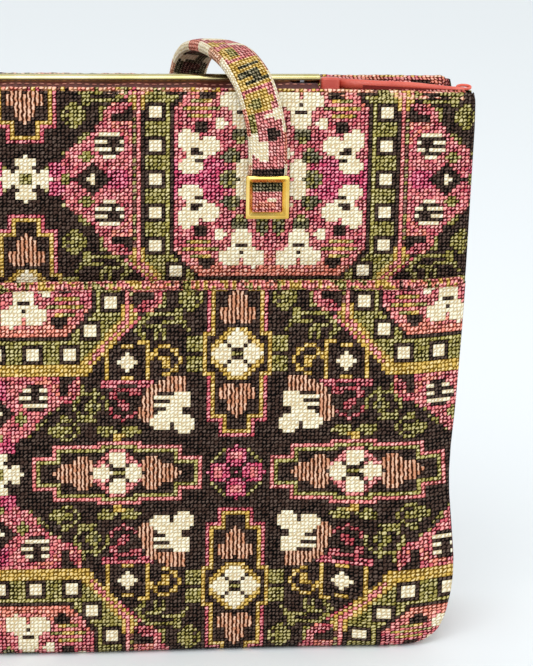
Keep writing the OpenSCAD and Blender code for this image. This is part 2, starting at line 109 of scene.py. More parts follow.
def linear(colour: Sequence[float]) -> tuple[float, float, float, float]:
    """Turns an sRGB colour of 0 to 255 into a linear one with full alpha."""
    out = [c / 255 / 12.92 if c / 255 <= 0.04045 else ((c / 255 + 0.055) / 1.055) ** 2.4 for c in colour]
    return (out[0], out[1], out[2], 1.0)


PALETTE = np.array([linear(y.value) for y in Yarn])
PALETTE[Yarn.TAN.index, 3] = 0.0


def oval(a: Array, b: Array, ca: float, cb: float, ra: float, rb: Optional[float] = None) -> Array:
    """Marks a round or oval spot.

    Args:
        a: First coordinate of each stitch.
        b: Second coordinate of each stitch.
        ca: Centre of the spot along a.
        cb: Centre of the spot along b.
        ra: Half size along a.
        rb: Half size along b, the same as ra if it isn't given.

    Returns:
        The mask of its stitches.
    """
    rb = ra if rb is None else rb
    return ((a - ca) / ra) ** 2 + ((b - cb) / rb) ** 2 <= 1.0


@dataclass
class Chart:
    """One quarter of the repeating figure, ruled in stitches, that the cloth mirrors both ways.

    The dark medallion's centre is at column 0 and row 0, the rose field's at the far corner.
    """

    half_cols: int = 59
    half_rows: int = 62
    seed: int = 7

    def __post_init__(self) -> None:
        """Rules the quarter and works each figure in it."""
        self.row, self.col = np.mgrid[0 : self.half_rows + 1, 0 : self.half_cols + 1].astype(float)
        self.cells = np.zeros(self.row.shape, int)
        self.chance = np.random.default_rng(self.seed).random(self.row.shape)
        self.medallion_edge()
        self.medallion_centre()
        self.upright_frame()
        self.lying_frame()
        self.corner_spray()
        self.rose_field()
        for swap in (False, True):
            self.side_flower(swap)

    def work(self, where: Array, yarn: Yarn) -> None:
        """Works the marked stitches in a yarn."""
        self.cells[where] = yarn.index

    def spots(self, yarn: Yarn, *places: tuple, axes: Optional[tuple] = None) -> None:
        """Works round or oval spots.

        Args:
            yarn: Their yarn.
            places: Centre and half sizes of each spot, with one half size if it is round.
            axes: The two coordinates that the places are given in, or None for column and row.
        """
        for place in places:
            self.work(oval(*(axes or (self.col, self.row)), *place), yarn)

    def box(self, c0: float, c1: float, r0: float, r1: float) -> Array:
        """Marks the stitches from column c0 to c1 and row r0 to r1."""
        return (self.col >= c0) & (self.col <= c1) & (self.row >= r0) & (self.row <= r1)

    def disc(self, *place: float) -> Array:
        """Marks a round or oval spot by its column, row and half sizes."""
        return oval(self.col, self.row, *place)

    def ring(self, c: float, r: float, outer: float, inner: float) -> Array:
        """Marks a ring between two radii."""
        return self.disc(c, r, outer) & ~self.disc(c, r, inner)

    def line(self, c0: float, r0: float, c1: float, r1: float, half: float = 0.6) -> Array:
        """Marks the stitches near a straight line.

        Args:
            c0: Column of its first end.
            r0: Row of its first end.
            c1: Column of its second end.
            r1: Row of its second end.
            half: Half width of the line.

        Returns:
            The mask of its stitches.
        """
        dc, dr = c1 - c0, r1 - r0
        t = np.clip(((self.col - c0) * dc + (self.row - r0) * dr) / (dc * dc + dr * dr), 0, 1)
        return np.hypot(self.col - c0 - t * dc, self.row - r0 - t * dr) <= half

    def curl(self, ring: tuple, gap: tuple, bud: tuple, yarn: Yarn) -> None:
        """Works an open ring with a bud inside it.

        Args:
            ring: Column, row, outer radius and inner radius.
            gap: Columns and rows of the box that is left open in the ring.
            bud: Column, row and radius of the bud.
            yarn: The yarn of both.
        """
        self.work(self.ring(*ring) & ~self.box(*gap), yarn)
        self.spots(yarn, bud)

    def medallion_centre(self) -> None:
        """Works the small flower at the medallion's middle."""
        self.work(self.line(3.4, 5.6, 5.6, 3.4, 0.7), Yarn.OLIVE)
        self.spots(Yarn.MAGENTA, (0, 4.2, 2.9, 2.8), (4.2, 0, 2.8, 2.9))
        self.spots(Yarn.PINK, (0, 4.6, 1.4, 1.2), (4.6, 0, 1.2, 1.4))
        self.spots(Yarn.GROUND, (0, 0, 1.7))
        self.work(self.box(0, 0, 0, 0), Yarn.MAGENTA)

    def small_flower(self, c: float, r: float, petal: Yarn, rim: Yarn) -> None:
        """Works four round petals about a dark middle, with an outline round them.

        Args:
            c: Column of its centre.
            r: Row of its centre.
            petal: Yarn of the petals.
            rim: Yarn of the outline.
        """
        dc, dr = abs(self.col - c), abs(self.row - r)
        reach = np.maximum(dc, dr)
        self.work((dc + dr <= 8.2) & (reach <= 6.1), rim)
        self.work(dc + dr <= 4.6, Yarn.GROUND)
        for away in (-3.7, 3.7):
            self.spots(petal, (c + away, r, 2.3, 2.1), (c, r + away, 2.1, 2.3))
        self.work((abs(dc - dr) < 0.6) & (reach <= 3.1), Yarn.GROUND)
        self.work(self.box(c - 1.4, c + 1.4, r - 1.4, r + 1.4), Yarn.GROUND)
        self.work(self.box(c - 0.5, c + 0.5, r - 0.5, r + 0.5), Yarn.OLIVE)
        self.work(self.box(c - 1.5, c + 1.5, r - 0.4, r + 0.4), Yarn.OLIVE)

    def heart(self, tip: float, top: float, upright: bool) -> None:
        """Works a striped heart on the axis of a frame.

        Args:
            tip: Row or column of the point.
            top: Row or column of the two lobes.
            upright: Whether the heart stands on a row axis.
        """
        along, across = (self.row, self.col) if upright else (self.col, self.row)
        t = (along - tip) / (top - tip)
        places = [0, 0.12, 0.35, 0.5, 0.6, 0.8, 0.92, 1.0]
        half = np.interp(t, places, [0.4, 1.6, 2.6, 2.2, 4.2, 4.7, 4.4, 3.0])
        notch = (t > 0.9) & (across < 0.8)
        self.work((t >= -0.02) & (t <= 1.02) & (across <= half) & ~notch, Yarn.TAN)

    def upright_frame(self) -> None:
        """Works the standing frame with two hearts and a flower."""
        for grow, yarn in ((1, Yarn.ROSE), (0, Yarn.GOLD), (-1, Yarn.GROUND)):
            self.work(self.box(0, 6 + grow, 15 - grow, 47 + grow), yarn)
            self.work(self.box(0, 3 + grow, 11 - grow, 51 + grow), yarn)
        self.work(self.box(6, 8, 26, 36), Yarn.GOLD)
        self.work(self.box(0, 7, 27, 35), Yarn.GROUND)
        self.spots(Yarn.OLIVE, (10.4, 28.6, 2.4), (10.4, 33.4, 2.4))
        self.heart(15, 23, True)
        self.heart(47, 39, True)
        self.small_flower(0, 31, Yarn.CREAM, Yarn.GOLD)

    def lying_frame(self) -> None:
        """Works the lying frame with two striped hearts and a flower."""
        for grow, yarn in ((1, Yarn.PINK), (0, Yarn.MOSS), (-1, Yarn.GROUND)):
            self.work(self.box(10 - grow, 49 + grow, 0, 3 + grow), yarn)
            self.work(self.box(15 - grow, 44 + grow, 0, 6 + grow), yarn)
            self.work(self.box(25 - grow, 33 + grow, 0, 7.6 + grow), yarn)
        self.heart(14, 23, False)
        self.heart(45, 36, False)
        self.small_flower(29.4, 0, Yarn.CREAM, Yarn.PINK)
        self.spots(Yarn.GOLD, (29.4, 9.8, 1.6, 1.2))
        self.spots(Yarn.OLIVE, (26.2, 11.4, 2.3, 1.6), (32.2, 11.4, 2.3, 1.6))
        self.spots(Yarn.MOSS, (26.2, 11.4, 0.8), (32.2, 11.4, 0.8))

    def corner_spray(self) -> None:
        """Works the framed square, curls and striped flower between the two frames."""
        self.work(self.box(22, 32, 24, 34) & ~self.box(25, 29, 34, 34), Yarn.GOLD)
        bites = self.disc(27, 24.4, 1.4) | self.disc(27, 33.6, 1.4)
        self.work(self.box(23, 31, 25, 33) & ~bites, Yarn.GROUND)
        self.work(self.box(21, 33, 23, 24) & ~self.box(25, 29, 23, 23), Yarn.ROSE)
        self.spots(Yarn.CREAM, (27, 30.2, 1.2), (27, 27.8, 1.2), (25.8, 29, 1.2), (28.2, 29, 1.2))
        self.curl((17.8, 29.5, 3.9, 2.9), (19, 21, 26, 29), (17.6, 28.8, 1.4), Yarn.GOLD)
        self.work(self.line(17.6, 28.8, 19.6, 30.8, 0.5), Yarn.GOLD)
        self.curl((28.0, 18.2, 4.3, 3.2), (23, 26, 17, 20), (27.6, 17.6, 1.5), Yarn.RED)
        self.work(self.line(27.6, 17.6, 29.6, 19.8, 0.5), Yarn.RED)
        self.spots(Yarn.RED, (24.2, 21.6, 1.0))
        body = self.ring(14.8, 16.0, 9.4, 5.4) & (self.col >= 12.4) & (self.row >= 13.4)
        self.work(body, Yarn.TAN)
        cup = self.disc(17.6, 18.4, 3.3, 3.0)
        self.work(cup, Yarn.GROUND)
        self.work(cup & (self.row % 2 < 1) & (self.col <= 20), Yarn.CREAM)
        self.spots(Yarn.CREAM, (13.6, 19.4, 2.5), (18.7, 13.4, 2.4), (13.2, 13.3, 2.7), (15.4, 15.8, 2.3))
        self.spots(Yarn.GROUND, (16.1, 13.2, 0.8), (13.2, 16.4, 0.8))
        arch = self.disc(18.5, 36.6, 6.6, 4.8) & ~self.disc(18.5, 36.6, 5.7, 3.9) & (self.row >= 36.5)
        self.work(arch | self.line(24.6, 37.4, 22.6, 34.6, 0.5), Yarn.OLIVE)
        self.spots(Yarn.OLIVE, (19.0, 35.8, 1.9, 1.6))
        self.spots(Yarn.GROUND, (19.0, 35.8, 0.8))
        self.work(self.line(18, 43, 18, 46, 0.5), Yarn.OLIVE)
        self.spots(Yarn.OLIVE, (11.7, 45, 1.9, 2.2))
        self.spots(Yarn.LEAF, (11.7, 45, 0.9))
        self.spots(Yarn.RED, (23.4, 43.8, 2.4))
        self.spots(Yarn.RUST, (22.4, 44.6, 1.2))
        self.curl((35.8, 17.5, 4.4, 3.5), (31, 34, 13, 16), (35.6, 17.5, 1.7), Yarn.OLIVE)
        self.spots(Yarn.LEAF, (35.6, 17.5, 0.8))
        self.spots(Yarn.OLIVE, (44.4, 11.2, 2.1, 1.7), (42.4, 14.4, 1.2))

    def medallion_edge(self) -> None:
        """Works the gold and pink line that closes the medallion at its corners."""
        self.work(self.line(25, 39.6, 37, 30.0, 1.1), Yarn.ROSE)
        self.work(self.line(25.6, 40.6, 37.6, 31.0, 0.8), Yarn.GOLD)

    def rose_field(self) -> None:
        """Works the octagon of rose with cream flowers, and the olive band of squares round it."""
        p, q = axes = self.half_cols - self.col, self.half_rows - self.row
        slant = (p - 18) * 0.759 + (q - 25) * 0.651
        level = np.maximum.reduce([p - 23, q - 26, slant])
        whole = (p <= 33.5) & (q <= 36.5) & (level <= 10.4)
        for low, high, yarn in (
            (9.4, 10.4, Yarn.GOLD), (8.4, 9.4, Yarn.PINK), (7.4, 8.4, Yarn.GOLD),
            (2.4, 7.4, Yarn.OLIVE), (1.4, 2.4, Yarn.MOSS), (0.4, 1.4, Yarn.GROUND),
        ):
            self.work(whole & (level > low) & (level <= high), yarn)
        side = whole & (level > 7.4) & (q < 19)
        self.work(side & (level > 9.4), Yarn.RUST)
        self.work(side & (level > 9.4) & (self.chance < 0.5), Yarn.OLIVE)
        self.work(side & (level <= 8.4), Yarn.GROUND)
        self.work(whole & (level > 7.4) & (q > 33.5), Yarn.GOLD)
        for sc, sr in ((0, 31), (9, 31), (18, 30.6), (28, 0), (28, 9), (27.6, 18), (23, 25)):
            near = np.maximum(abs(p - sc), abs(q - sr))
            self.work(near <= 2.5, Yarn.GROUND)
            self.work(near <= 1.5, Yarn.CREAM)
        inside = level <= 0.4
        self.work(inside, Yarn.ROSE)
        self.work(inside & (self.chance < 0.3), Yarn.PINK)
        self.work(inside & (q > 15 + 6 * self.chance), Yarn.PINK)
        self.work(inside & (q > 19 + 7 * self.chance), Yarn.SALMON)
        self.work(inside & (q <= 3 + 4 * self.chance) & (p >= 10), Yarn.MAGENTA)
        leaf = oval(p, q, 17.4, 18.8, 4.6, 2.6) & (self.row % 2 >= 1)
        self.work(leaf, Yarn.OLIVE)
        self.work(leaf & (self.chance < 0.4), Yarn.GOLD)
        for place in (
            (7.6, 11.8, 1.9, 2.5), (9.6, 6.3, 2.5, 1.9), (9.8, 0.6, 3.1, 1.7), (2.2, 12.6, 1.7, 2.5)
        ):
            self.work(oval(p, q, *place), Yarn.LEAF)
            self.work(oval(p, q, *place) & (self.chance < 0.45), Yarn.OLIVE)
        self.spots(Yarn.MAGENTA, (13.4, 3.8, 2.1, 1.7), axes=axes)
        self.spots(
            Yarn.CREAM,
            (20.2, 10.5, 2.8, 2.7), (15.0, 8.9, 2.7, 2.3), (19.3, 3.7, 2.9, 2.6), (18.2, 7.2, 2.8, 2.6),
            (7.2, 16.2, 2.6), (9.8, 21.3, 2.8, 2.5), (4.0, 21.5, 2.8, 2.5), (7.0, 19.4, 2.5, 2.6),
            (12.2, 15.0, 1.7, 1.2), (12.2, 15.0, 1.2, 1.7), (6.4, 2.4, 2.0, 2.8), (2.4, 6.8, 2.8, 2.0),
            axes=axes,
        )
        for p0, p1, r in (
            (16.4, 19.4, 7.0), (16.8, 18.6, 5.4), (17.6, 19.6, 8.4), (5.6, 8.4, 18.4), (6.4, 7.6, 20.2)
        ):
            self.work((abs(q - r) <= 0.5) & (p >= p0) & (p <= p1), Yarn.GROUND)
        self.spots(Yarn.GROUND, (17.1, 13.9, 1.9, 1.7), (15.4, 22.8, 1.9, 1.7), axes=axes)
        self.spots(Yarn.OLIVE, (0, 0, 3.4), axes=axes)
        self.spots(Yarn.GOLD, (0, 0, 1.8), axes=axes)

    def side_flower(self, swap: bool) -> None:
        """Works the flower between two rose fields and the pendant on each side of it.

        Args:
            swap: False for the flower above a medallion, True for the one beside it.
        """
        above, beside = (self.col, self.half_rows - self.row), (self.row, self.half_cols - self.col)
        a, b = axes = beside if swap else above
        reach = np.interp(
            a, [4, 6, 8, 10, 12, 15.6, 17.7, 19, 21, 25], [0, 3.4, 4.2, 7, 9, 12, 15, 18, 20, 20.6]
        )
        free = (a <= 25.5) & (a >= 4)
        pendant = free & (b <= reach)
        self.work(free & (b <= reach + 1.4) & (self.chance < 0.5), Yarn.OLIVE)
        self.work(pendant, Yarn.PINK)
        self.work(pendant & (self.chance < 0.45), Yarn.ROSE)
        self.work(pendant & (a > 20) & (b > 8) & (self.chance > 0.6), Yarn.SALMON)
        self.spots(Yarn.MAGENTA, (7.2, 2.4, 2.3, 2.0), (22.0, 0, 3.0, 2.8), axes=axes)
        self.spots(Yarn.OLIVE, (9.6, 0, 1.5, 1.2), (14.6, 6.0, 1.9, 1.3), axes=axes)
        self.work(abs(a - 15.7) / 4.8 + b / 4.3 <= 1.0, Yarn.GROUND)
        self.work((abs(a - 15.7) <= 1.2) & (b <= 0.4), Yarn.CREAM)
        self.work((abs(a - 15.7) <= 0.5) & (b <= 1.4), Yarn.CREAM)
        striped = oval(a, b, 20.2, 9.3, 3.7, 3.5)
        self.work(striped, Yarn.CREAM)
        self.work(striped & (self.row % 2 >= 1), Yarn.GROUND)
        self.spots(
            Yarn.GROUND, (21.0, 9.2, 1.4, 1.2), (23.0, 16.8, 2.4, 1.7), (24.4, 18.4, 1.1, 1.5), axes=axes
        )
        self.spots(Yarn.RED, (22.6, 19.0, 1.7, 1.3), axes=axes)
        ring = ((a - 11.4) / 3.0) ** 2 + ((b - 17.0) / 3.2) ** 2
        self.work((ring <= 1.0) & (ring >= 0.5) & (b > reach), Yarn.OLIVE)
        self.spots(Yarn.OLIVE, (11.4, 17.0, 1.1, 1.2), (16.5, 23.0, 1.6, 1.0), axes=axes)
        self.spots(Yarn.OLIVE, (20.5, 24.2, 2.2, 0.8), (14.6, 20.6, 0.8, 1.8), axes=axes)
        self.spots(Yarn.CREAM, (0, 3.6, 2.7, 2.4), (3.6, 0, 2.4, 2.7), axes=axes)
        self.spots(Yarn.GROUND, (2.6, 2.6, 0.8), axes=axes)
        self.work((a <= 1.2) & (b <= 1.2), Yarn.OLIVE)

    def yarn(self, u: Array, v: Array) -> Array:
        """Yarn at a place of the cloth.

        Args:
            u: Columns from a medallion's centre.
            v: Rows from a medallion's centre.

        Returns:
            The palette index of each stitch.
        """
        c = np.abs((np.round(u) + self.half_cols) % (2 * self.half_cols) - self.half_cols).astype(int)
        r = np.abs((np.round(v) + self.half_rows) % (2 * self.half_rows) - self.half_rows).astype(int)
        return self.cells[r, c]


@dataclass(frozen=True)
class Figure:
    """Where the chart's medallion centre falls on a cloth."""

    chart: Chart
    x: float
    z: float
    pitch_x: float = 1.419
    pitch_z: float = 1.378

    def u(self, x: Array) -> Array:
        """Columns from the medallion's centre."""
        return (x - self.x) / self.pitch_x

    def v(self, z: Array) -> Array:
        """Rows from the medallion's centre."""
        return (z - self.z) / self.pitch_z

    @staticmethod
    def edges(low: float, high: float, start: float, pitch: float, near: float = 0.05) -> Array:
        """Edges between whole stitches, with the two ends.

        Args:
            low: Lower end, in millimetres.
            high: Upper end.
            start: Middle of the medallion's own stitch.
            pitch: Size of a stitch.
            near: Distance from an end within which an edge is left out.

        Returns:
            The edges in rising order.
        """
        first, last = math.ceil((low - start) / pitch - 0.5) + 0.5, math.floor(
            (high - start) / pitch - 0.5
        ) + 0.5
        inner = start + np.arange(first, last + 0.5) * pitch
        return np.concatenate([[low], inner[(inner > low + near) & (inner < high - near)], [high]])

    def columns(self, x0: float, x1: float) -> Array:
        """Edges between the columns from x0 to x1."""
        return self.edges(x0, x1, self.x, self.pitch_x)

    def rows(self, z0: float, z1: float) -> Array:
        """Edges between the rows from z0 to z1."""
        return self.edges(z0, z1, self.z, self.pitch_z)


# Nodes and finishes


def add(tree: Tree, kind: str, inputs: Optional[dict] = None, **props: object) -> bpy.types.Node:
    """Adds a node, sets its properties, and sets or links its inputs.

    Args:
        tree: The tree that it goes into.
        kind: The node's type.
        inputs: A value or a socket for each input, by name or number.
        props: Properties of the node.

    Returns:
        The new node.
    """
    node = tree.nodes.new(kind)
    for key, value in props.items():
        setattr(node, key, value)
    for key, value in (inputs or {}).items():
        if isinstance(value, Socket):
            tree.links.new(value, node.inputs[key])
        else:
            node.inputs[key].default_value = value
    return node


def calc(tree: Tree, op: str, *values: Value) -> Socket:
    """Adds a math node and returns its result."""
    return add(tree, "ShaderNodeMath", dict(enumerate(values)), operation=op).outputs[0]


def vector(tree: Tree, op: str, *values: Value) -> Socket:
    """Adds a vector math node and returns its result."""
    return add(tree, "ShaderNodeVectorMath", dict(enumerate(values)), operation=op).outputs[0]


def ranged(tree: Tree, value: Socket, *limits: Value, smooth: bool = False) -> Socket:
    """Maps a value from one range to another.

    Args:
        tree: The tree that it goes into.
        value: The value.
        limits: Lowest and highest of the first range, and what each of them becomes.
        smooth: Whether the ends are eased.

    Returns:
        The mapped value, kept within its range.
    """
    kind = "SMOOTHSTEP" if smooth else "LINEAR"
    return add(
        tree, "ShaderNodeMapRange", dict(enumerate((value, *limits))), interpolation_type=kind
    ).outputs[0]


def blend_colour(tree: Tree, factor: Value, first: Value, second: Value) -> Socket:
    """Mixes two colours.

    Args:
        tree: The tree that it goes into.
        factor: Share of the second colour.
        first: First colour.
        second: Second colour.

    Returns:
        The mixed colour.
    """
    return add(tree, "ShaderNodeMix", {0: factor, 6: first, 7: second}, data_type="RGBA").outputs[2]


def new_group(
    name: str, inputs: Sequence[tuple], outputs: Sequence[tuple], kind: str = "ShaderNodeTree"
) -> tuple:
    """Starts a node group.

    Args:
        name: The group's name.
        inputs: Name, socket type and plain value of each input.
        outputs: Name and socket type of each output.
        kind: Type of the tree.

    Returns:
        The tree, its input node and its output node.
    """
    tree = bpy.data.node_groups.new(name, kind)
    for label, sort, value in inputs:
        socket = tree.interface.new_socket(label, in_out="INPUT", socket_type=sort)
        if value is not None:
            socket.default_value = value
    for label, sort in outputs:
        tree.interface.new_socket(label, in_out="OUTPUT", socket_type=sort)
    return tree, tree.nodes.new("NodeGroupInput"), tree.nodes.new("NodeGroupOutput")


def stitch_group() -> Tree:
    """Builds the slanted stitch: its colour, with painted shade in the gaps between stitches and a painted
    highlight on each stitch's top, and its height.

    Returns:
        The group's tree.
    """
    tree, gi, go = new_group(
        "slanted_stitch",
        [("Place", "NodeSocketVector", None), ("Yarn", "NodeSocketColor", None),
         ("Upright", FLOAT, 0.0), ("Gap", FLOAT, 1.6), ("Light", FLOAT, 0.45), ("Fuzz", FLOAT, 0.35)],
        [("Color", "NodeSocketColor"), ("Height", FLOAT)],
    )
    place = gi.outputs["Place"]
    drift = add(tree, "ShaderNodeTexNoise", {"Vector": place, "Scale": 0.9, "Detail": 1.0}).outputs[1]
    pulled = vector(tree, "SUBTRACT", drift, (0.5, 0.5, 0.5))
    pulled = vector(tree, "MULTIPLY", pulled, (0.9, 0.9, 0.0))
    bent = vector(tree, "ADD", place, pulled)
    part = vector(tree, "FRACTION", bent)
    cell = vector(tree, "FLOOR", bent)
    chance = add(tree, "ShaderNodeTexWhiteNoise", {"Vector": cell}, noise_dimensions="3D").outputs
    tint = add(tree, "ShaderNodeSeparateXYZ", {0: chance[1]}).outputs
    xyz = add(tree, "ShaderNodeSeparateXYZ", {0: part}).outputs
    du, dv = calc(tree, "SUBTRACT", xyz[0], 0.5), calc(tree, "SUBTRACT", xyz[1], 0.5)
    half_length, half_width = 0.66, 0.40
    along = calc(tree, "MULTIPLY", calc(tree, "ADD", du, dv), DIAGONAL / half_length)
    across = calc(tree, "MULTIPLY", calc(tree, "SUBTRACT", du, dv), DIAGONAL / half_width)
    squares = calc(tree, "MULTIPLY", along, along), calc(tree, "MULTIPLY", across, across)
    far = calc(tree, "SQRT", calc(tree, "ADD", *squares))
    edge = ranged(tree, tint[1], 0.0, 1.0, 0.85, 1.45)
    mound = ranged(tree, far, edge, 0.3, 0.0, 1.0, smooth=True)
    column = ranged(tree, calc(tree, "ABSOLUTE", du), 0.42, 0.1, 0.0, 1.0, smooth=True)
    upright = gi.outputs["Upright"]
    slanted = calc(tree, "MULTIPLY", mound, calc(tree, "SUBTRACT", 1.0, upright))
    mound = calc(tree, "ADD", slanted, calc(tree, "MULTIPLY", column, upright))
    fibre = add(tree, "ShaderNodeTexNoise", {"Vector": place, "Scale": 3.4, "Detail": 2.0}).outputs[0]
    fuzz = calc(tree, "MULTIPLY", calc(tree, "SUBTRACT", fibre, 0.5), gi.outputs["Fuzz"])
    level = calc(tree, "ADD", mound, fuzz)
    yarn = gi.outputs["Yarn"]
    # Painted shade: the gaps between stitches are darkened and warmed from the yarn's colour.
    bright = add(tree, "ShaderNodeRGBToBW", {0: yarn}).outputs[0]
    depth = calc(tree, "POWER", bright, gi.outputs["Gap"])
    shade = add(tree, "ShaderNodeVectorMath", {0: yarn, "Scale": depth}, operation="SCALE").outputs[0]
    shade = vector(tree, "MULTIPLY", shade, (1.1, 0.92, 0.72))
    # Painted highlight: each stitch's top is paled towards a warm white, by a random amount, and less on dark
    # yarns.
    lift = ranged(tree, tint[0], 0.0, 1.0, 0.25, 1.3)
    catch = ranged(tree, calc(tree, "SQRT", bright), 0.13, 0.36, 0.12, 1.0)
    shine = calc(tree, "MULTIPLY", calc(tree, "MULTIPLY", gi.outputs["Light"], lift), catch)
    soft = add(tree, "ShaderNodeGamma", {0: yarn, 1: 0.5}).outputs[0]
    lit = blend_colour(tree, 0.3, soft, (1.0, 0.87, 0.72, 1.0))
    pale = blend_colour(tree, shine, yarn, lit)
    # The colour runs from the painted gap shade through the yarn to the painted highlight as the stitch
    # rises.
    low = ranged(tree, level, 0.12, 0.62, 0.0, 1.0)
    high = ranged(tree, level, 0.5, 1.0, 0.0, 1.0)
    toned = blend_colour(tree, high, blend_colour(tree, low, shade, yarn), pale)
    tree.links.new(toned, go.inputs["Color"])
    tree.links.new(mound, go.inputs["Height"])
    return tree


def grain_group() -> Tree:
    """Builds the fine grain of leather, board and brushed metal, and the wear along its edges.

    Returns:
        The group's tree.
    """
    tree, gi, go = new_group(
        "fine_grain",
        [("Place", "NodeSocketVector", None), ("Cell size", FLOAT, 900.0), ("Cloud size", FLOAT, 40.0)],
        [("Mottle", FLOAT), ("Height", FLOAT), ("Wear", FLOAT)],
    )
    place, fine, coarse = (gi.outputs[k] for k in ("Place", "Cell size", "Cloud size"))
    cells = add(
        tree, "ShaderNodeTexVoronoi", {"Vector": place, "Scale": fine}, feature="DISTANCE_TO_EDGE"
    ).outputs[0]
    clouds = {"Vector": place, "Scale": coarse, "Detail": 5.0, "Roughness": 0.6}
    cloud = add(tree, "ShaderNodeTexNoise", clouds).outputs[0]
    pebble = ranged(tree, cells, 0.0, 0.18, 0.0, 1.0)
    height = calc(tree, "ADD", calc(tree, "MULTIPLY", pebble, 0.5), calc(tree, "MULTIPLY", cloud, 0.9))
    bend = add(tree, "ShaderNodeNewGeometry").outputs["Pointiness"]
    edge = ranged(tree, bend, 0.51, 0.56, 0.0, 1.0)
    rubbed = ranged(tree, cloud, 0.42, 0.58, 0.25, 1.0)
    tree.links.new(calc(tree, "MULTIPLY", edge, rubbed), go.inputs["Wear"])
    tree.links.new(cloud, go.inputs["Mottle"])
    tree.links.new(height, go.inputs["Height"])
    return tree


@dataclass(frozen=True)
class ClothFinish:
    """Worked wool, whose colours come from the cloth's own yarn attribute, with painted gap shade and painted
    stitch highlights laid over them.
    """

    name: str
    # gap sets the painted shade between stitches, light the painted highlight on their tops.
    gap: float = 2.0
    light: float = 0.85
    fuzz: float = 0.6
    relief: float = 0.35

    def make(self, stitch: Tree) -> Material:
        """Builds the material on the stitch group.

        Args:
            stitch: The stitch group.

        Returns:
            The material.
        """
        material, tree, shader = new_material(self.name)
        place = add(tree, "ShaderNodeUVMap", uv_map=STITCH_UV).outputs[0]
        yarn = add(tree, "ShaderNodeAttribute", attribute_name=YARN, attribute_type="GEOMETRY").outputs
        group = add(tree, "ShaderNodeGroup", node_tree=stitch)
        tree.links.new(place, group.inputs["Place"])
        tree.links.new(yarn["Color"], group.inputs["Yarn"])
        tree.links.new(calc(tree, "SUBTRACT", 1.0, yarn["Alpha"]), group.inputs["Upright"])
        for key, value in (("Gap", self.gap), ("Light", self.light), ("Fuzz", self.fuzz)):
            group.inputs[key].default_value = value
        bump = add(
            tree, "ShaderNodeBump",
            {"Height": group.outputs["Height"], "Strength": 0.9, "Distance": self.relief * MM}
        )
        tree.links.new(group.outputs["Color"], shader.inputs["Base Color"])
        tree.links.new(bump.outputs[0], shader.inputs["Normal"])
        for key, value in (
            ("Roughness", 0.88), ("Sheen Weight", 0.02), ("Sheen Roughness", 0.4),
            ("Specular IOR Level", 0.08)
        ):
            shader.inputs[key].default_value = value
        return material


@dataclass(frozen=True)
class GrainFinish:
    """Leather, board or metal: a colour that wanders a little, with a fine grain."""

    name: str
    colour: tuple
    shade: tuple
    roughness: float = 0.45
    metallic: float = 0.0
    cell: float = 900.0
    cloud: float = 40.0
    relief: float = 0.12
    coat: float = 0.0
    wear: float = 0.22
    paler: float = 0.35
    rougher: float = 0.15

    def make(self, grain: Tree) -> Material:
        """Builds the material on the grain group.

        Args:
            grain: The grain group.

        Returns:
            The material.
        """
        material, tree, shader = new_material(self.name)
        place = add(tree, "ShaderNodeTexCoord").outputs["Object"]
        group = add(tree, "ShaderNodeGroup", node_tree=grain)
        tree.links.new(place, group.inputs["Place"])
        group.inputs["Cell size"].default_value = self.cell
        group.inputs["Cloud size"].default_value = self.cloud
        spread = ranged(tree, group.outputs["Mottle"], 0.32, 0.68, 0.0, 1.0)
        plain = blend_colour(tree, spread, linear(self.shade), linear(self.colour))
        worn = tuple(c + (255 - c) * self.paler for c in self.colour)
        amount = calc(tree, "MULTIPLY", group.outputs["Wear"], self.wear)
        base = blend_colour(tree, amount, plain, linear(worn))
        rough = ranged(tree, group.outputs["Mottle"], 0.3, 0.7, self.roughness * 1.2, self.roughness * 0.85)
        rough = calc(tree, "MULTIPLY_ADD", amount, self.rougher, rough)
        bump = add(
            tree, "ShaderNodeBump",
            {"Height": group.outputs["Height"], "Strength": 0.6, "Distance": self.relief * MM}
        )
        tree.links.new(base, shader.inputs["Base Color"])
        tree.links.new(rough, shader.inputs["Roughness"])
        tree.links.new(bump.outputs[0], shader.inputs["Normal"])
        shader.inputs["Metallic"].default_value = self.metallic
        shader.inputs["Coat Weight"].default_value = self.coat
        return material


def new_material(name: str) -> tuple:
    """Starts a material.

    Args:
        name: Its name.

    Returns:
        The material, its tree and its shader.
    """
    material = bpy.data.materials.new(name)
    material.use_nodes = True
    tree = material.node_tree
    tree.nodes.clear()
    shader = tree.nodes.new("ShaderNodeBsdfPrincipled")
    out = tree.nodes.new("ShaderNodeOutputMaterial")
    tree.links.new(shader.outputs[0], out.inputs["Surface"])
    return material, tree, shader


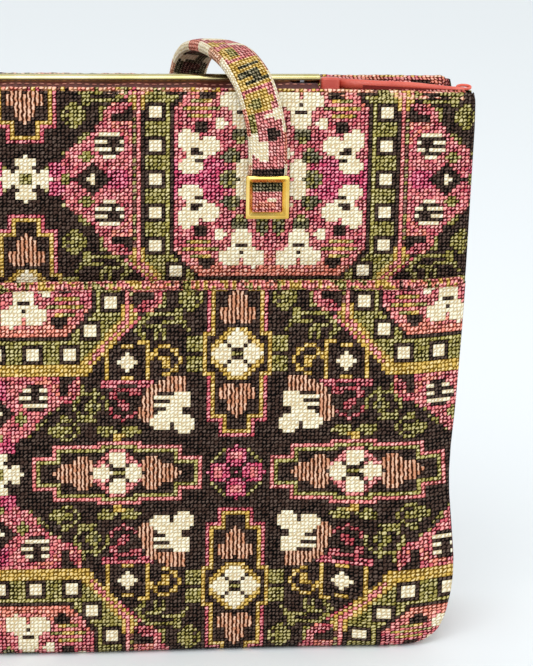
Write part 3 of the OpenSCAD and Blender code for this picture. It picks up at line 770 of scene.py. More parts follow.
@dataclass
class Finishes:
    """Every finish of the purse."""

    def __post_init__(self) -> None:
        """Builds the shared groups and the materials."""
        stitch, grain = stitch_group(), grain_group()
        self.tapestry = ClothFinish("worked_tapestry").make(stitch)
        self.strap = ClothFinish("worked_strap", gap=1.8, relief=0.4).make(stitch)
        self.coral = GrainFinish("coral_leather", (222, 88, 62), (188, 58, 46), 0.4, coat=0.2).make(grain)
        self.lining = GrainFinish("lining_leather", (150, 50, 42), (112, 34, 32), 0.5).make(grain)
        # The flange leather is the coral leather darkened: painted shade under the brass bar.
        self.coral_painted_shade = GrainFinish("coral_leather_painted_shade", (92, 30, 28), (58, 20, 20), 0.5).make(grain)
        self.brass = GrainFinish(
            "polished_brass", (244, 208, 112), (222, 178, 78), 0.14, 1.0, 2400, 90, 0.004
        ).make(grain)
        self.pale_brass = GrainFinish(
            "pale_brass", (226, 210, 150), (200, 182, 116), 0.16, 1.0, 2400, 60, 0.004
        ).make(grain)
        self.steel = GrainFinish(
            "plain_steel", (178, 180, 184), (150, 152, 156), 0.34, 1.0, 1800, 120, 0.02
        ).make(grain)
        self.board = GrainFinish(
            "stiff_board", (170, 154, 128), (140, 126, 104), 0.85, cell=1400, relief=0.1
        ).make(grain)
        self.thread = GrainFinish(
            "linen_thread", (186, 122, 100), (150, 84, 70), 0.7, cell=3000, cloud=300, relief=0.05
        ).make(grain)


# Meshes


def put(name: str, data: bpy.types.ID) -> Object:
    """Makes an object of some data and links it to the scene."""
    obj = bpy.data.objects.new(name, data)
    bpy.context.scene.collection.objects.link(obj)
    return obj


def stack(*parts: Array) -> Array:
    """Joins coordinates to points along a new last axis."""
    return np.stack(parts, axis=-1)


def corners(index: Array) -> Array:
    """The four point numbers of each cell, from its low corner along the row first."""
    return stack(index[:-1, :-1], index[:-1, 1:], index[1:, 1:], index[1:, :-1]).reshape(-1, 4)


def grid_faces(rows: int, cols: int) -> list:
    """Faces of a grid of points."""
    return corners(np.arange(rows * cols).reshape(rows, cols)).tolist()


def ring_faces(rings: int, sides: int, closed: bool = False) -> list:
    """Faces between rings of points.

    Args:
        rings: Number of rings.
        sides: Points in each ring.
        closed: Whether the last ring meets the first one.

    Returns:
        The faces, ring by ring.
    """
    faces = []
    for i in range(rings if closed else rings - 1):
        low, high = i * sides, (i + 1) % rings * sides
        for k in range(sides):
            after = (k + 1) % sides
            faces.append((low + k, low + after, high + after, high + k))
    return faces


def end_faces(rings: int, sides: int) -> list:
    """The two faces that close a row of rings."""
    return [tuple(reversed(range(sides))), tuple((rings - 1) * sides + k for k in range(sides))]


def slab_faces(rows: int, cols: int, start: int = 0) -> list:
    """Faces of two grids of points, one behind the other, closed round their rim.

    Args:
        rows: Rows of each grid.
        cols: Points in each row.
        start: Corner that a sheet's faces begin at, which sets how they are split.

    Returns:
        The faces, with the first grid's turned against the second's.
    """
    n = rows * cols
    faces = []
    for a, b, c, d in grid_faces(rows, cols):
        sheets = (a, d, c, b), (n + b, n + c, n + d, n + a)
        faces += [f[start:] + f[:start] for f in sheets]
    index = np.arange(n).reshape(rows, cols)
    loop = np.concatenate([index[0], index[1:, -1], index[-1, -2::-1], index[-2:0:-1, 0]]).tolist()
    return faces + [(a, b, n + b, n + a) for a, b in zip(loop, loop[1:] + loop[:1])]


def new_mesh(name: str, verts: Array, faces: Sequence, material: Material, smooth: bool = True) -> Object:
    """Makes a mesh object from points in millimetres.

    Args:
        name: The piece's name.
        verts: Points, one row each.
        faces: Point numbers of each face.
        material: The finish.
        smooth: Whether the faces are shaded smooth.

    Returns:
        The object, linked to the scene.
    """
    mesh = bpy.data.meshes.new(name)
    faces = faces if isinstance(faces, list) else faces.tolist()
    mesh.from_pydata((np.asarray(verts) * MM).tolist(), [], faces)
    mesh.polygons.foreach_set("use_smooth", np.full(len(mesh.polygons), smooth))
    mesh.materials.append(material)
    return put(name, mesh)


@dataclass
class Cloth:
    """A piece of cloth, gathered from grids of points in which each quad is one stitch."""

    name: str
    material: Material
    chart: Chart
    verts: list = field(default_factory=list)
    quads: list = field(default_factory=list)
    uvs: list = field(default_factory=list)
    yarns: list = field(default_factory=list)
    count: int = 0

    def grid(self, points: Array, u: Array, v: Array, yarn: Optional[Array] = None,
             flip: bool = False, wrap: bool = False) -> None:
        """Adds a grid of points, without the stitches that have no size.

        Args:
            points: Points in millimetres, rows by columns.
            u: Column of the chart at each point.
            v: Row of the chart at each point.
            yarn: Palette index of each stitch, or None for the chart's own.
            flip: Turns the faces round.
            wrap: Says that the last column meets the first one.
        """
        rows, cols = points.shape[:2]
        index = np.arange(rows * cols).reshape(rows, cols)
        ring = np.concatenate([index[:, :-1], index[:, :1]], axis=1)
        quads = corners(ring if wrap else index)
        at = corners(index)
        flat, uf, vf = points.reshape(-1, 3), u.reshape(-1), v.reshape(-1)
        middle_u, middle_v = uf[at].mean(axis=1), vf[at].mean(axis=1)
        chosen = self.chart.yarn(middle_u, middle_v) if yarn is None else yarn.reshape(-1)
        across, along = flat[quads[:, 2]] - flat[quads[:, 0]], flat[quads[:, 3]] - flat[quads[:, 1]]
        size = np.linalg.norm(np.cross(across, along), axis=1)
        keep = size > 1e-3
        quads, at, chosen = quads[keep], at[keep], chosen[keep]
        if flip:
            quads, at = quads[:, ::-1], at[:, ::-1]
        self.verts.append(flat)
        self.quads.append(quads + self.count)
        self.uvs.append(stack(uf[at] + 0.5, vf[at] + 0.5).reshape(-1, 2))
        self.yarns.append(np.repeat(PALETTE[chosen], 4, axis=0))
        self.count += len(flat)

    def build(self) -> Object:
        """Joins the grids to one mesh with its stitch map and yarn colours.

        Returns:
            The piece.
        """
        obj = new_mesh(self.name, np.concatenate(self.verts), np.concatenate(self.quads), self.material)
        mesh = obj.data
        layer = mesh.uv_layers.new(name=STITCH_UV)
        layer.data.foreach_set("uv", np.concatenate(self.uvs).astype(np.float32).ravel())
        colour = mesh.color_attributes.new(YARN, "FLOAT_COLOR", "CORNER")
        colour.data.foreach_set("color", np.concatenate(self.yarns).astype(np.float32).ravel())
        return obj


def dress(obj: Object, body: Optional[str] = SHELL, stands_for: Sequence[str] = ()) -> Object:
    """Hands a piece to its body, and hides the nodes that it stands for.

    Args:
        obj: The piece.
        body: The body that it rides on, or None if it bends between two.
        stands_for: Nodes that it takes the place of.

    Returns:
        The same piece.
    """
    if body:
        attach(obj, body)
    if stands_for:
        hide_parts(*stands_for)
    LOG.info("%s: %d faces, rides on %s", obj.name, len(obj.data.polygons), body or "two bodies")
    return obj


def unit(v: Array) -> Array:
    """Scales each vector to length one."""
    return v / np.maximum(np.linalg.norm(v, axis=-1, keepdims=True), 1e-9)


def spline(points: Array, steps: int) -> Array:
    """Smooth curve through rows of values, with a number of steps between each pair.

    Args:
        points: Rows of values that the curve passes through.
        steps: Steps between each pair.

    Returns:
        The rows of the curve.
    """
    out = []
    last = len(points) - 1
    for i in range(last):
        a, b, c, d = points[max(i - 1, 0)], points[i], points[i + 1], points[min(i + 2, last)]
        for k in range(steps + (1 if i == last - 1 else 0)):
            t = k / steps
            bend, twist = 2 * a - 5 * b + 4 * c - d, 3 * b - 3 * c + d - a
            out.append(0.5 * (2 * b + t * (c - a) + t * t * bend + t**3 * twist))
    return np.array(out)


def tube(
    path: Array, radius: float, sides: int = 8, flat: float = 1.0, taper: Optional[Array] = None
) -> tuple:
    """Closed round strip along a path.

    Args:
        path: Points of the centre line.
        radius: Half width across.
        sides: Number of sides.
        flat: Height of the section over its width.
        taper: Factor of the size at each point of the path.

    Returns:
        Its points and its faces.
    """
    run = unit(np.gradient(path, axis=0))
    across = np.cross(run, UP)
    steep = np.linalg.norm(across, axis=1) < 0.3
    across[steep] = np.cross(run, np.array([0.0, 1.0, 0.0]))[steep]
    side = unit(across)
    top = np.cross(side, run)
    turn = np.arange(sides) * 2 * math.pi / sides
    size = radius * (np.ones(len(path)) if taper is None else taper)
    c, s = np.cos(turn)[None, :, None], np.sin(turn)[None, :, None]
    ring = path[:, None] + size[:, None, None] * (side[:, None] * c + flat * top[:, None] * s)
    verts = ring.reshape(-1, 3)
    n = len(path)
    faces = [(a, d, c, b) for a, b, c, d in ring_faces(n, sides)]
    faces += [tuple(reversed(face)) for face in end_faces(n, sides)]
    return verts, faces


def bevelled_box(low: Sequence[float], high: Sequence[float], edge: float, steps: int = 3) -> tuple:
    """Box with rounded edges, as a rounded outline swept up and drawn in at both ends.

    Args:
        low: Lowest corner.
        high: Highest corner.
        edge: Radius of the edges.
        steps: Steps of each rounding.

    Returns:
        Its points and its faces.
    """
    centre, half = (np.array(low) + np.array(high)) / 2, (np.array(high) - np.array(low)) / 2
    quarter = np.linspace(0, math.pi / 2, steps + 1)
    levels = [(-half[2] + edge * (1 - math.cos(a)), edge * (1 - math.sin(a))) for a in quarter]
    levels += [(-z, inset) for z, inset in reversed(levels)]
    verts = []
    for z, inset in levels:
        for sx, sy, start in ((1, 1, 0), (-1, 1, 90), (-1, -1, 180), (1, -1, 270)):
            for a in np.radians(np.linspace(start, start + 90, steps + 1)):
                reach = edge - inset
                x = sx * (half[0] - edge) + reach * math.cos(a)
                y = sy * (half[1] - edge) + reach * math.sin(a)
                verts.append(centre + [x, y, z])
    n = 4 * (steps + 1)
    return np.array(verts), ring_faces(len(levels), n) + end_faces(len(levels), n)


def stitch_tree(material: Material) -> Tree:
    """Builds the tree that lays a row of thread stitches along a line of points.

    Args:
        material: Finish of the thread.

    Returns:
        The tree.
    """
    cord = "NodeSocketGeometry"
    sizes = [("Spacing", FLOAT, 0.0026), ("Length", FLOAT, 0.0018), ("Thickness", FLOAT, 0.0003)]
    tree, gi, go = new_group(
        "thread_row", [("Geometry", cord, None), *sizes], [("Geometry", cord)], "GeometryNodeTree"
    )
    line = add(tree, "GeometryNodeMeshToCurve", {0: gi.outputs["Geometry"]}).outputs[0]
    points = add(
        tree, "GeometryNodeResampleCurve", {"Curve": line, "Length": gi.outputs["Spacing"]}, mode="LENGTH"
    ).outputs[0]
    tangent = add(tree, "GeometryNodeInputTangent").outputs[0]
    turn = add(tree, "FunctionNodeAlignEulerToVector", {"Vector": tangent}, axis="Z").outputs[0]
    bead = add(tree, "GeometryNodeMeshUVSphere", {"Segments": 6, "Rings": 5, "Radius": 1.0}).outputs[0]
    half, thick = calc(tree, "MULTIPLY", gi.outputs["Length"], 0.5), gi.outputs["Thickness"]
    size = add(tree, "ShaderNodeCombineXYZ", {0: thick, 1: thick, 2: half}).outputs[0]
    placed = add(
        tree, "GeometryNodeInstanceOnPoints",
        {"Points": points, "Instance": bead, "Rotation": turn, "Scale": size}
    ).outputs[0]
    real = add(tree, "GeometryNodeRealizeInstances", {0: placed}).outputs[0]
    final = add(tree, "GeometryNodeSetMaterial", {"Geometry": real, "Material": material}).outputs[0]
    tree.links.new(final, go.inputs[0])
    return tree


@dataclass
class ThreadRow:
    """A row of separate stitches along a line."""

    name: str
    path: Array
    spacing: float = 2.6
    length: float = 1.8
    thickness: float = 0.26

    def build(self, tree: Tree) -> Object:
        """Lays the row.

        Args:
            tree: The tree that lays the stitches.

        Returns:
            The row as a plain mesh.
        """
        mesh = bpy.data.meshes.new(self.name + "_line")
        mesh.from_pydata((self.path * MM).tolist(), [(i, i + 1) for i in range(len(self.path) - 1)], [])
        source = put(self.name + "_line", mesh)
        modifier = source.modifiers.new("thread", "NODES")
        modifier.node_group = tree
        values = {"Spacing": self.spacing, "Length": self.length, "Thickness": self.thickness}
        for item in tree.interface.items_tree:
            if item.in_out == "INPUT" and item.name in values:
                modifier[item.identifier] = values[item.name] * MM
        graph = bpy.context.evaluated_depsgraph_get()
        made = bpy.data.meshes.new_from_object(source.evaluated_get(graph), depsgraph=graph)
        source.modifiers.remove(modifier)
        bpy.data.objects.remove(source)
        return put(self.name, made)


# The bag's shape


@dataclass(frozen=True)
class Shape:
    """Sizes of the bag, as in the frame's source."""

    half_w: float = 160.0
    height: float = 203.0
    half_d: float = 25.0
    inner_d: float = 21.4
    corner_w: float = 25.0
    corner_h: float = 34.0
    edge_r: float = 5.0
    wall_t: float = 3.6
    fold_in: float = 39.0
    mount_x: float = 89.0
    mount_z: float = 166.0
    fold_low: float = 34.0
    gusset_t: float = 2.0
    pocket_h: float = 136.0
    pocket_face: float = 31.6
    pocket_slope: float = 19.0
    bar_low: float = 203.6
    bar_out: float = 2.1
    tab_x0: float = 109.94
    tab_x1: float = 116.54
    tab_low: float = 160.0
    flange_x: float = 108.6
    arm_x: float = 99.2
    rim_y: float = 23.3
    rim_below: float = 1.9
    tab_half: float = 2.6
    tab_above: float = 1.5

    def reach(self, z: Array) -> Array:
        """Half width of the bag at a height."""
        t = np.clip((self.corner_h - np.asarray(z, float)) / self.corner_h, 0, 1)
        return self.half_w - self.corner_w + self.corner_w * np.sqrt(np.maximum(1 - t * t, 0))

    def under(self, z: Array) -> Array:
        """How far the rounded long bottom edge draws in at a height."""
        t = np.clip((self.edge_r - np.asarray(z, float)) / self.edge_r, 0, 1)
        return self.edge_r * (1 - np.sqrt(np.maximum(1 - t * t, 0)))

    def waist(self, z: Array) -> Array:
        """How far the soft side edge leans out near the rim, draws in below and bulges at the foot."""
        return np.interp(
            z, [0, 4, 8, 12, 20, 33, 40, 49, 58, 66, 76, 90, 115, 140, 190, 199, 203],
            [2.4, 3.5, 3.0, 1.8, 0.3, -0.5, -1.2, -2.2, -3.2, -3.6, -3.3, -2.2, -0.9, 0.1, 1.2, 1.1, 0.2]
        )

    def skew(self, x: Array) -> Array:
        """How far the closed frame hangs lower towards its left end."""
        return -1.2 * (self.flange_x - np.asarray(x, float)) / (2 * self.flange_x)

    def fold(self, z: Array) -> Array:
        """How far the side folds in at a height."""
        return np.clip(
            (np.asarray(z, float) - self.fold_low) / (self.height - self.fold_low), 0, 2
        ) * self.fold_in


def swell(x: Array, z: Array, size: float) -> Array:
    """Slow uneven rise and fall of a stuffed cloth face."""
    slow = 0.5 * np.sin(x / 31.0 + 0.7) * np.cos(z / 27.0 + 0.3)
    return size * (slow + 0.3 * np.sin(x / 17.0 + z / 23.0) + 0.2 * np.cos(z / 11.0 - x / 41.0))


@dataclass
class Wall:
    """Cloth of the front or back wall, turned over its edges."""

    shape: Shape
    figure: Figure
    back: bool = False
    edge: float = 1.3
    crown: float = 0.5
    hem: float = 8.0
    ease: float = 12.0
    turn: tuple = (-1.0, 0.0, 0.5, 0.85, 1.0, 1.0, 1.0)
    drop: tuple = (0.0, 0.0, 0.15, 0.5, 1.0, 1.9, 2.9)

    def build(self, name: str, material: Material) -> Object:
        """Builds the face, its turned sides, its rounded foot and the hem turned inside.

        Args:
            name: The piece's name.
            material: Its finish.

        Returns:
            The piece.
        """
        s, sign = self.shape, 1.0 if self.back else -1.0
        cloth = Cloth(name, material, self.figure.chart)
        cols = self.figure.columns(-s.half_w, s.half_w)
        rows = self.figure.rows(0.2, s.height - 1.2)
        zz, xx = np.meshgrid(rows, cols, indexing="ij")
        limit = s.reach(zz) + s.waist(zz) - self.edge
        x = np.clip(xx, -limit, limit)
        near = np.clip((limit - np.abs(x)) / self.ease, 0, 1)
        y = s.half_d - s.under(zz) + near * (self.crown * 0.5 + swell(x, zz, self.crown))
        cloth.grid(stack(x, sign * y, zz), self.figure.u(xx), self.figure.v(zz), flip=self.back)
        for side in (-1.0, 1.0):
            turn, drop = np.array(self.turn), np.array(self.drop)
            zs, k = np.meshgrid(rows, np.arange(len(turn)), indexing="ij")
            base = s.reach(zs) + s.waist(zs) - self.edge
            xs = side * (base + np.clip(turn[k], -0.4, 1) * self.edge)
            ys = s.half_d - s.under(zs) - drop[k] * self.edge
            ys = np.maximum(ys, s.inner_d - 0.3)
            us = self.figure.u(side * (base + k * 0.9))
            flip = (side > 0) == self.back
            cloth.grid(stack(xs, sign * ys, zs), us, self.figure.v(zs), flip=flip)
        low = np.linspace(s.height - 0.4, s.height - self.hem, 8)
        zh, xh = np.meshgrid(low, self.figure.columns(-s.half_w + 2, s.half_w - 2), indexing="ij")
        yh = s.inner_d - 0.35 + 0.25 * np.clip((zh - s.height + 2) / 2, 0, 1) + 0.1 * np.sin(xh / 6.0)
        cloth.grid(stack(xh, sign * yh, zh), self.figure.u(xh), self.figure.v(2 * s.height - zh),
                   yarn=self.hem_yarns(xh[:-1, :-1], zh[:-1, :-1]), flip=self.back)
        return cloth.build()

    def hem_yarns(self, x: Array, z: Array) -> Array:
        """Yarn of each stitch of the cloth turned inside at the top.

        Args:
            x: Place of each stitch across the wall.
            z: Its height.

        Returns:
            The palette index of each stitch.
        """
        down = self.shape.height - z
        pick = np.full(x.shape, Yarn.PINK.index)
        wave = np.sin(x * 0.23 + 0.6 * down) + np.sin(x * 0.071 + 1.0) + 0.4 * np.sin(x * 1.9 + down * 2.1)
        pick[wave > 0.9] = Yarn.GOLD.index
        pick[wave > 1.5] = Yarn.OLIVE.index
        pick[wave < -1.1] = Yarn.SALMON.index
        near = (x - 149.0) % 72.0
        near = np.minimum(near, 72.0 - near)
        pick[(near / 5.0) ** 2 + ((down - 3.4) / 2.6) ** 2 < 1.0] = Yarn.GROUND.index
        return pick


@dataclass
class RolledRim:
    """A rolled edge of cloth along the top of a wall or of the pocket."""

    figure: Figure
    path: Array
    half_y: float
    half_z: float
    yarns: tuple = (Yarn.SALMON, Yarn.PEACH, Yarn.GOLD, Yarn.ROSE)
    outward: float = -1.0
    sides: int = 10

    def build(self, name: str, material: Material) -> Object:
        """Builds the roll with slanted stitches round it and closed ends.

        Args:
            name: The piece's name.
            material: Its finish.

        Returns:
            The piece.
        """
        cloth = Cloth(name, material, self.figure.chart)
        run = unit(np.gradient(self.path, axis=0))
        side = stack(run[:, 1], -run[:, 0], np.zeros(len(run)))
        turn = np.linspace(0, 2 * math.pi, self.sides + 1)
        c, z = np.cos(turn), np.sin(turn)
        step = np.arange(len(self.path))
        wave = 1 + 0.05 * np.sin(step * 1.9) + 0.04 * np.sin(step * 0.37)
        ends = np.ones(len(self.path))
        ends[[0, -1]] = 0.05
        ends[[1, -2]] = 0.75
        radius = (wave * ends)[:, None, None]
        out = self.half_y * side[:, None] * (np.sign(c) * np.abs(c) ** 0.8)[None, :, None]
        rise = self.half_z * UP * (np.sign(z) * np.abs(z) ** 0.8)[None, :, None]
        points = self.path[:, None] + radius * (out + rise)
        length = np.concatenate(
            [[0], np.cumsum(np.linalg.norm(np.diff(self.path, axis=0), axis=1))]
        ) + self.path[0, 0]
        u = np.repeat(self.figure.u(length)[:, None], self.sides + 1, axis=1)
        v = np.repeat((turn * 0.95)[None], len(self.path), axis=0)
        a, b = u[:-1, :-1], v[:-1, :-1]
        own = self.figure.chart.yarn(a + 0.5, np.full_like(a, self.figure.v(self.path[0, 2])))
        wander = np.sin(a * 0.31) + np.sin(a * 0.83 + b) + 0.8 * np.sin(a * 2.7 + 1.3 * b)
        pick = np.digitize(wander, [-0.9, 0.5, 1.3])
        choice = np.array([y.index for y in self.yarns])[pick]
        choice = np.where((own == Yarn.GROUND.index) & (wander > 1.0), Yarn.RUST.index, choice)
        choice = np.where((own == Yarn.OLIVE.index) & (wander > 0.2), Yarn.OLIVE.index, choice)
        cloth.grid(points, u, v, yarn=choice, wrap=True, flip=self.outward > 0)
        return cloth.build()


@dataclass
class Pocket:
    """Cloth and lining of the slip pocket on the front."""

    shape: Shape
    figure: Figure
    crown: float = 0.8
    round_x: float = 7.0
    ease: float = 20.0
    foot_z: float = 0.02
    rise_from: float = 100.0
    turned: tuple = (0.0, -0.15, -0.3, -0.5, -0.9)
    skin: float = 1.8
    floor_z: float = 10.0

    def pulled(self, x: Array, z: Array) -> Array:
        """Where the cloth of a place lies, since its lower part is drawn out towards the right edge."""
        return x + 0.24 * np.clip(x - 116.0, 0, None) * np.interp(z, [32, 60, 110], [1, 0.6, 0.08])

    def droop(self, x: Array, z: Array) -> Array:
        """How far the cloth's rows hang lower near the right edge, above the foot."""
        most = 4.2 * np.interp(x, [100, 112, 126, 138], [0, 0.2, 0.8, 1])
        return most * np.interp(z, [0, 12, 22, 42, 70], [0, 0.85, 1, 0.5, 0])

    def depth(self, x: Array, z: Array) -> Array:
        """How far the pocket's face stands in front of the middle, at a place.

        Args:
            x: Place across the bag.
            z: Height.

        Returns:
            The depth, in millimetres.
        """
        s = self.shape
        bend = s.half_w - s.pocket_slope
        over = np.abs(x) - bend
        curve = (over + self.round_x) ** 2 / (4 * self.round_x)
        soft = np.where(over < -self.round_x, 0, np.where(over > self.round_x, over, curve))
        slope = (s.pocket_face - s.half_d) / s.pocket_slope
        return s.pocket_face - slope * soft - s.under(z)

    def build(self, name: str, material: Material) -> Object:
        """Builds the pocket's worked face down to its rounded foot.

        Args:
            name: The piece's name.
            material: Its finish.

        Returns:
            The piece.
        """
        s = self.shape
        cloth = Cloth(name, material, self.figure.chart)
        cols = self.figure.columns(-s.half_w, s.half_w)
        rows = self.figure.rows(self.foot_z, s.pocket_h - 1.4)
        zz, xx = np.meshgrid(rows, cols, indexing="ij")
        limit = s.reach(zz) + s.waist(zz)
        x = np.clip(self.pulled(xx, zz), -limit, limit)
        near = np.clip((limit - np.abs(x)) / self.ease, 0, 1)
        y = self.depth(x, zz) + near * swell(x, zz, self.crown)
        high = np.clip((zz - self.rise_from) / (s.pocket_h - self.rise_from), 0, 1)
        lifted = zz + self.rise(x) * high - self.droop(x, zz)
        cloth.grid(stack(x, -y, lifted), self.figure.u(xx), self.figure.v(zz))
        for side in (-1.0, 1.0):
            zs, k = np.meshgrid(rows, np.arange(5), indexing="ij")
            xs = s.reach(zs) + s.waist(zs)
            front = self.depth(xs, zs)
            back = s.half_d - 0.8 - s.under(zs)
            ys = front + (back - front) * k / 4.0
            inset = np.array(self.turned)[k]
            us = self.figure.u(side * (xs + k * 1.4))
            cloth.grid(stack(side * (xs + inset), -ys, zs), us, self.figure.v(zs), flip=side < 0)
        foot_half = s.reach(self.foot_z) + s.waist(self.foot_z)
        foot = np.clip(cols, -foot_half, foot_half)
        k, xg = np.meshgrid(np.arange(6), foot, indexing="ij")
        low = np.full_like(xg, self.foot_z)
        front = self.depth(xg, low)
        yg = front + (s.inner_d - front) * k / 5.0
        us = self.figure.u(np.repeat(cols[None], 6, axis=0))
        cloth.grid(stack(xg, -yg, low), us, self.figure.v(-k * 1.4), flip=True)
        return cloth.build()

    def lining(self, name: str, material: Material) -> Object:
        """Builds the leather inside of the pocket, from its floor to the rim.

        Args:
            name: The piece's name.
            material: Its finish.

        Returns:
            The piece.
        """
        s = self.shape
        xs = np.linspace(-s.half_w + 2.2, s.half_w - 2.2, 90)
        zs = np.concatenate([np.linspace(self.floor_z, 36, 10), np.linspace(44, s.pocket_h - 0.8, 14)])
        zz, xx = np.meshgrid(zs, xs, indexing="ij")
        limit = s.reach(zz) + s.waist(zz) - 2.0
        x = np.clip(xx, -limit, limit)
        y = self.depth(x, zz) - self.skin + 0.12 * np.sin(x / 9.0) * np.sin(zz / 13.0)
        y = np.maximum(y, s.half_d + 0.15)
        front = stack(x, -y, zz).reshape(-1, 3)
        floor_x = np.clip(xs, -limit[0, -1], limit[0, -1])
        floor = stack(floor_x, np.full_like(xs, -s.half_d - 0.1), np.full_like(xs, self.floor_z))
        faces = [(b, a, d, c) for a, b, c, d in grid_faces(*zz.shape)]
        base = zz.size
        faces += [(j, j + 1, base + j + 1, base + j) for j in range(len(xs) - 1)]
        return tidy(new_mesh(name, np.concatenate([front, floor]), faces, material))

    def rim_path(self) -> Array:
        """Centre line of the rolled rim.

        Returns:
            Its points.
        """
        s = self.shape
        x = self.figure.columns(-s.half_w + 0.8, s.half_w - 0.8)
        z = np.full_like(x, s.pocket_h - 1.5)
        x = np.clip(x, -s.half_w + 1.4, s.half_w - 1.4)
        return stack(x, -(self.depth(x, z) - 0.35), z + self.rise(x))

    def rise(self, x: Array) -> Array:
        """How far the rim stands above its plain height."""
        return 0.9 + 0.6 * np.asarray(x) / self.shape.half_w + 0.3 * np.sin(np.asarray(x) / 37.0)


@contextmanager
def editing(obj: Object) -> Iterator[bmesh.types.BMesh]:
    """Opens a piece's mesh for editing and writes it back at the end.

    Args:
        obj: The piece.

    Yields:
        Its mesh, open for editing.
    """
    bm = bmesh.new()
    bm.from_mesh(obj.data)
    yield bm
    bm.to_mesh(obj.data)
    bm.free()


def turn_outwards(obj: Object) -> Object:
    """Points every face of a closed piece outwards, and returns the piece."""
    with editing(obj) as bm:
        bmesh.ops.recalc_face_normals(bm, faces=bm.faces)
    return obj


def tidy(obj: Object) -> Object:
    """Merges doubled points and removes faces that have no size, keeping how the others point.

    Args:
        obj: The piece.

    Returns:
        The same piece.
    """
    with editing(obj) as bm:
        bmesh.ops.remove_doubles(bm, verts=bm.verts, dist=0.00002)
        bmesh.ops.dissolve_degenerate(bm, dist=0.00001, edges=bm.edges)
    return obj


@dataclass
class Gusset:
    """One folded side: its cloth, its lining and the leather binding of its top edge."""

    shape: Shape
    figure: Figure
    side: float = 1.0

    def line(self) -> Array:
        """Places up the side, as reach and height, from the foot to the rim.

        Returns:
            Its points.
        """
        s = self.shape
        angle = np.linspace(-90, 0, 30)
        corner = stack(s.half_w - s.corner_w + s.corner_w * np.cos(np.radians(angle)),
                           s.corner_h + s.corner_h * np.sin(np.radians(angle)))
        rows = self.figure.rows(s.corner_h + 0.5, s.height - 0.6)
        return np.concatenate([corner, stack(np.full_like(rows, s.half_w), rows)])

    def sag(self, part: Array) -> Array:
        """How far the soft top edge of the fold hangs below the rim, from front to back."""
        return np.interp(part, [-1, -0.9, 0, 0.25, 0.5, 1], [0.0, 0.0, 0.2, 3.0, 5.0, 6.6])

    def face(self, offset: float, across: Array, line: Array) -> Array:
        """Points of a skin that lies a distance inside the outer one.

        Args:
            offset: Distance inside the outer skin.
            across: Places from front to back, from -1 to 1.
            line: Places up the side.

        Returns:
            Its points, rows by columns.
        """
        s = self.shape
        part, z = np.meshgrid(across, line[:, 1], indexing="xy")
        x0 = np.repeat(line[:, :1], len(across), axis=1)
        y = part * s.inner_d
        ease = np.sqrt(part * part + 0.0025) - 0.05 * (1 - np.abs(part))
        fold = s.fold(z) * (1 - np.clip(ease, 0, 1))
        corner = np.clip((s.corner_h - z) / s.corner_h, 0, 1)
        lift = offset * corner
        slant = 1 + (s.fold(z) / s.inner_d) ** 2 * 0.25
        x = x0 + s.waist(z) - 0.2 - fold - offset * slant * (1 - corner * 0.6)
        top = np.clip((z - s.height + 30) / 30, 0, 1) ** 2
        return stack(self.side * x, y, z + lift - self.sag(part) * top)

    def build(self, name: str, material: Material) -> Object:
        """Builds the worked cloth of the side.

        Args:
            name: The piece's name.
            material: Its finish.

        Returns:
            The piece.
        """
        line = self.line()
        across = np.linspace(-1, 1, 31)
        points = self.face(0.0, across, line)
        swell_in = 0.35 * np.sin(points[..., 2] / 14.0) * (1 - across**2)[None]
        points[..., 0] -= self.side * (0.2 + swell_in)
        width = np.linalg.norm(np.diff(points, axis=1), axis=2)
        u = np.concatenate([np.zeros((len(line), 1)), np.cumsum(width, axis=1)], axis=1)
        u = (u - u[:, 15:16]) / self.figure.pitch_x + self.figure.chart.half_cols - 7
        arc = np.concatenate([[0], np.cumsum(np.linalg.norm(np.diff(line, axis=0), axis=1))])
        v = np.repeat(self.figure.v(arc - arc[-1] + line[-1, 1])[:, None], len(across), axis=1)
        cloth = Cloth(name, material, self.figure.chart)
        cloth.grid(points, u, v, flip=self.side < 0)
        return cloth.build()

    def lining(self, name: str, material: Material) -> Object:
        """Builds the leather inside of the side.

        Args:
            name: The piece's name.
            material: Its finish.

        Returns:
            The piece.
        """
        line = self.line()[::2]
        across = np.linspace(-1, 1, 17)
        points = self.face(self.shape.gusset_t, across, line)
        faces = grid_faces(*points.shape[:2])
        if self.side > 0:
            faces = [tuple(reversed(f)) for f in faces]
        return new_mesh(name, points.reshape(-1, 3), faces, material)

    def binding(self, name: str, material: Material) -> Object:
        """Builds the leather strip that binds the fold's top edge and ends in a small loop.

        Args:
            name: The piece's name.
            material: Its finish.

        Returns:
            The piece.
        """
        s = self.shape
        part = np.concatenate([np.linspace(1, 0.06, 14), np.linspace(-0.02, -0.97, 16)])
        x = s.half_w - s.fold_in * (1 - np.abs(part)) - 1.2 - 3.4 * np.exp(-((part + 0.02) / 0.09) ** 2)
        z = s.height - 0.5 - self.sag(part) + 0.2 * np.sin(part * 9.0)
        path = stack(x, part * (s.inner_d + 0.1), z)
        turn = np.radians(np.linspace(-90, 170, 12))
        end = path[-1]
        loop = end + stack(2.4 * np.cos(turn), 1.5 + 1.5 * np.sin(turn), 0.9 + 0.5 * np.sin(turn))
        path = np.concatenate([path, loop])
        path[:, 0] *= self.side
        radius = np.concatenate([np.linspace(0.8, 1.4, 14), np.linspace(1.5, 0.8, 16), np.full(12, 0.4)])
        verts, faces = tube(path, 1.0, 10, 1.35, radius)
        return new_mesh(name, verts, faces, material)


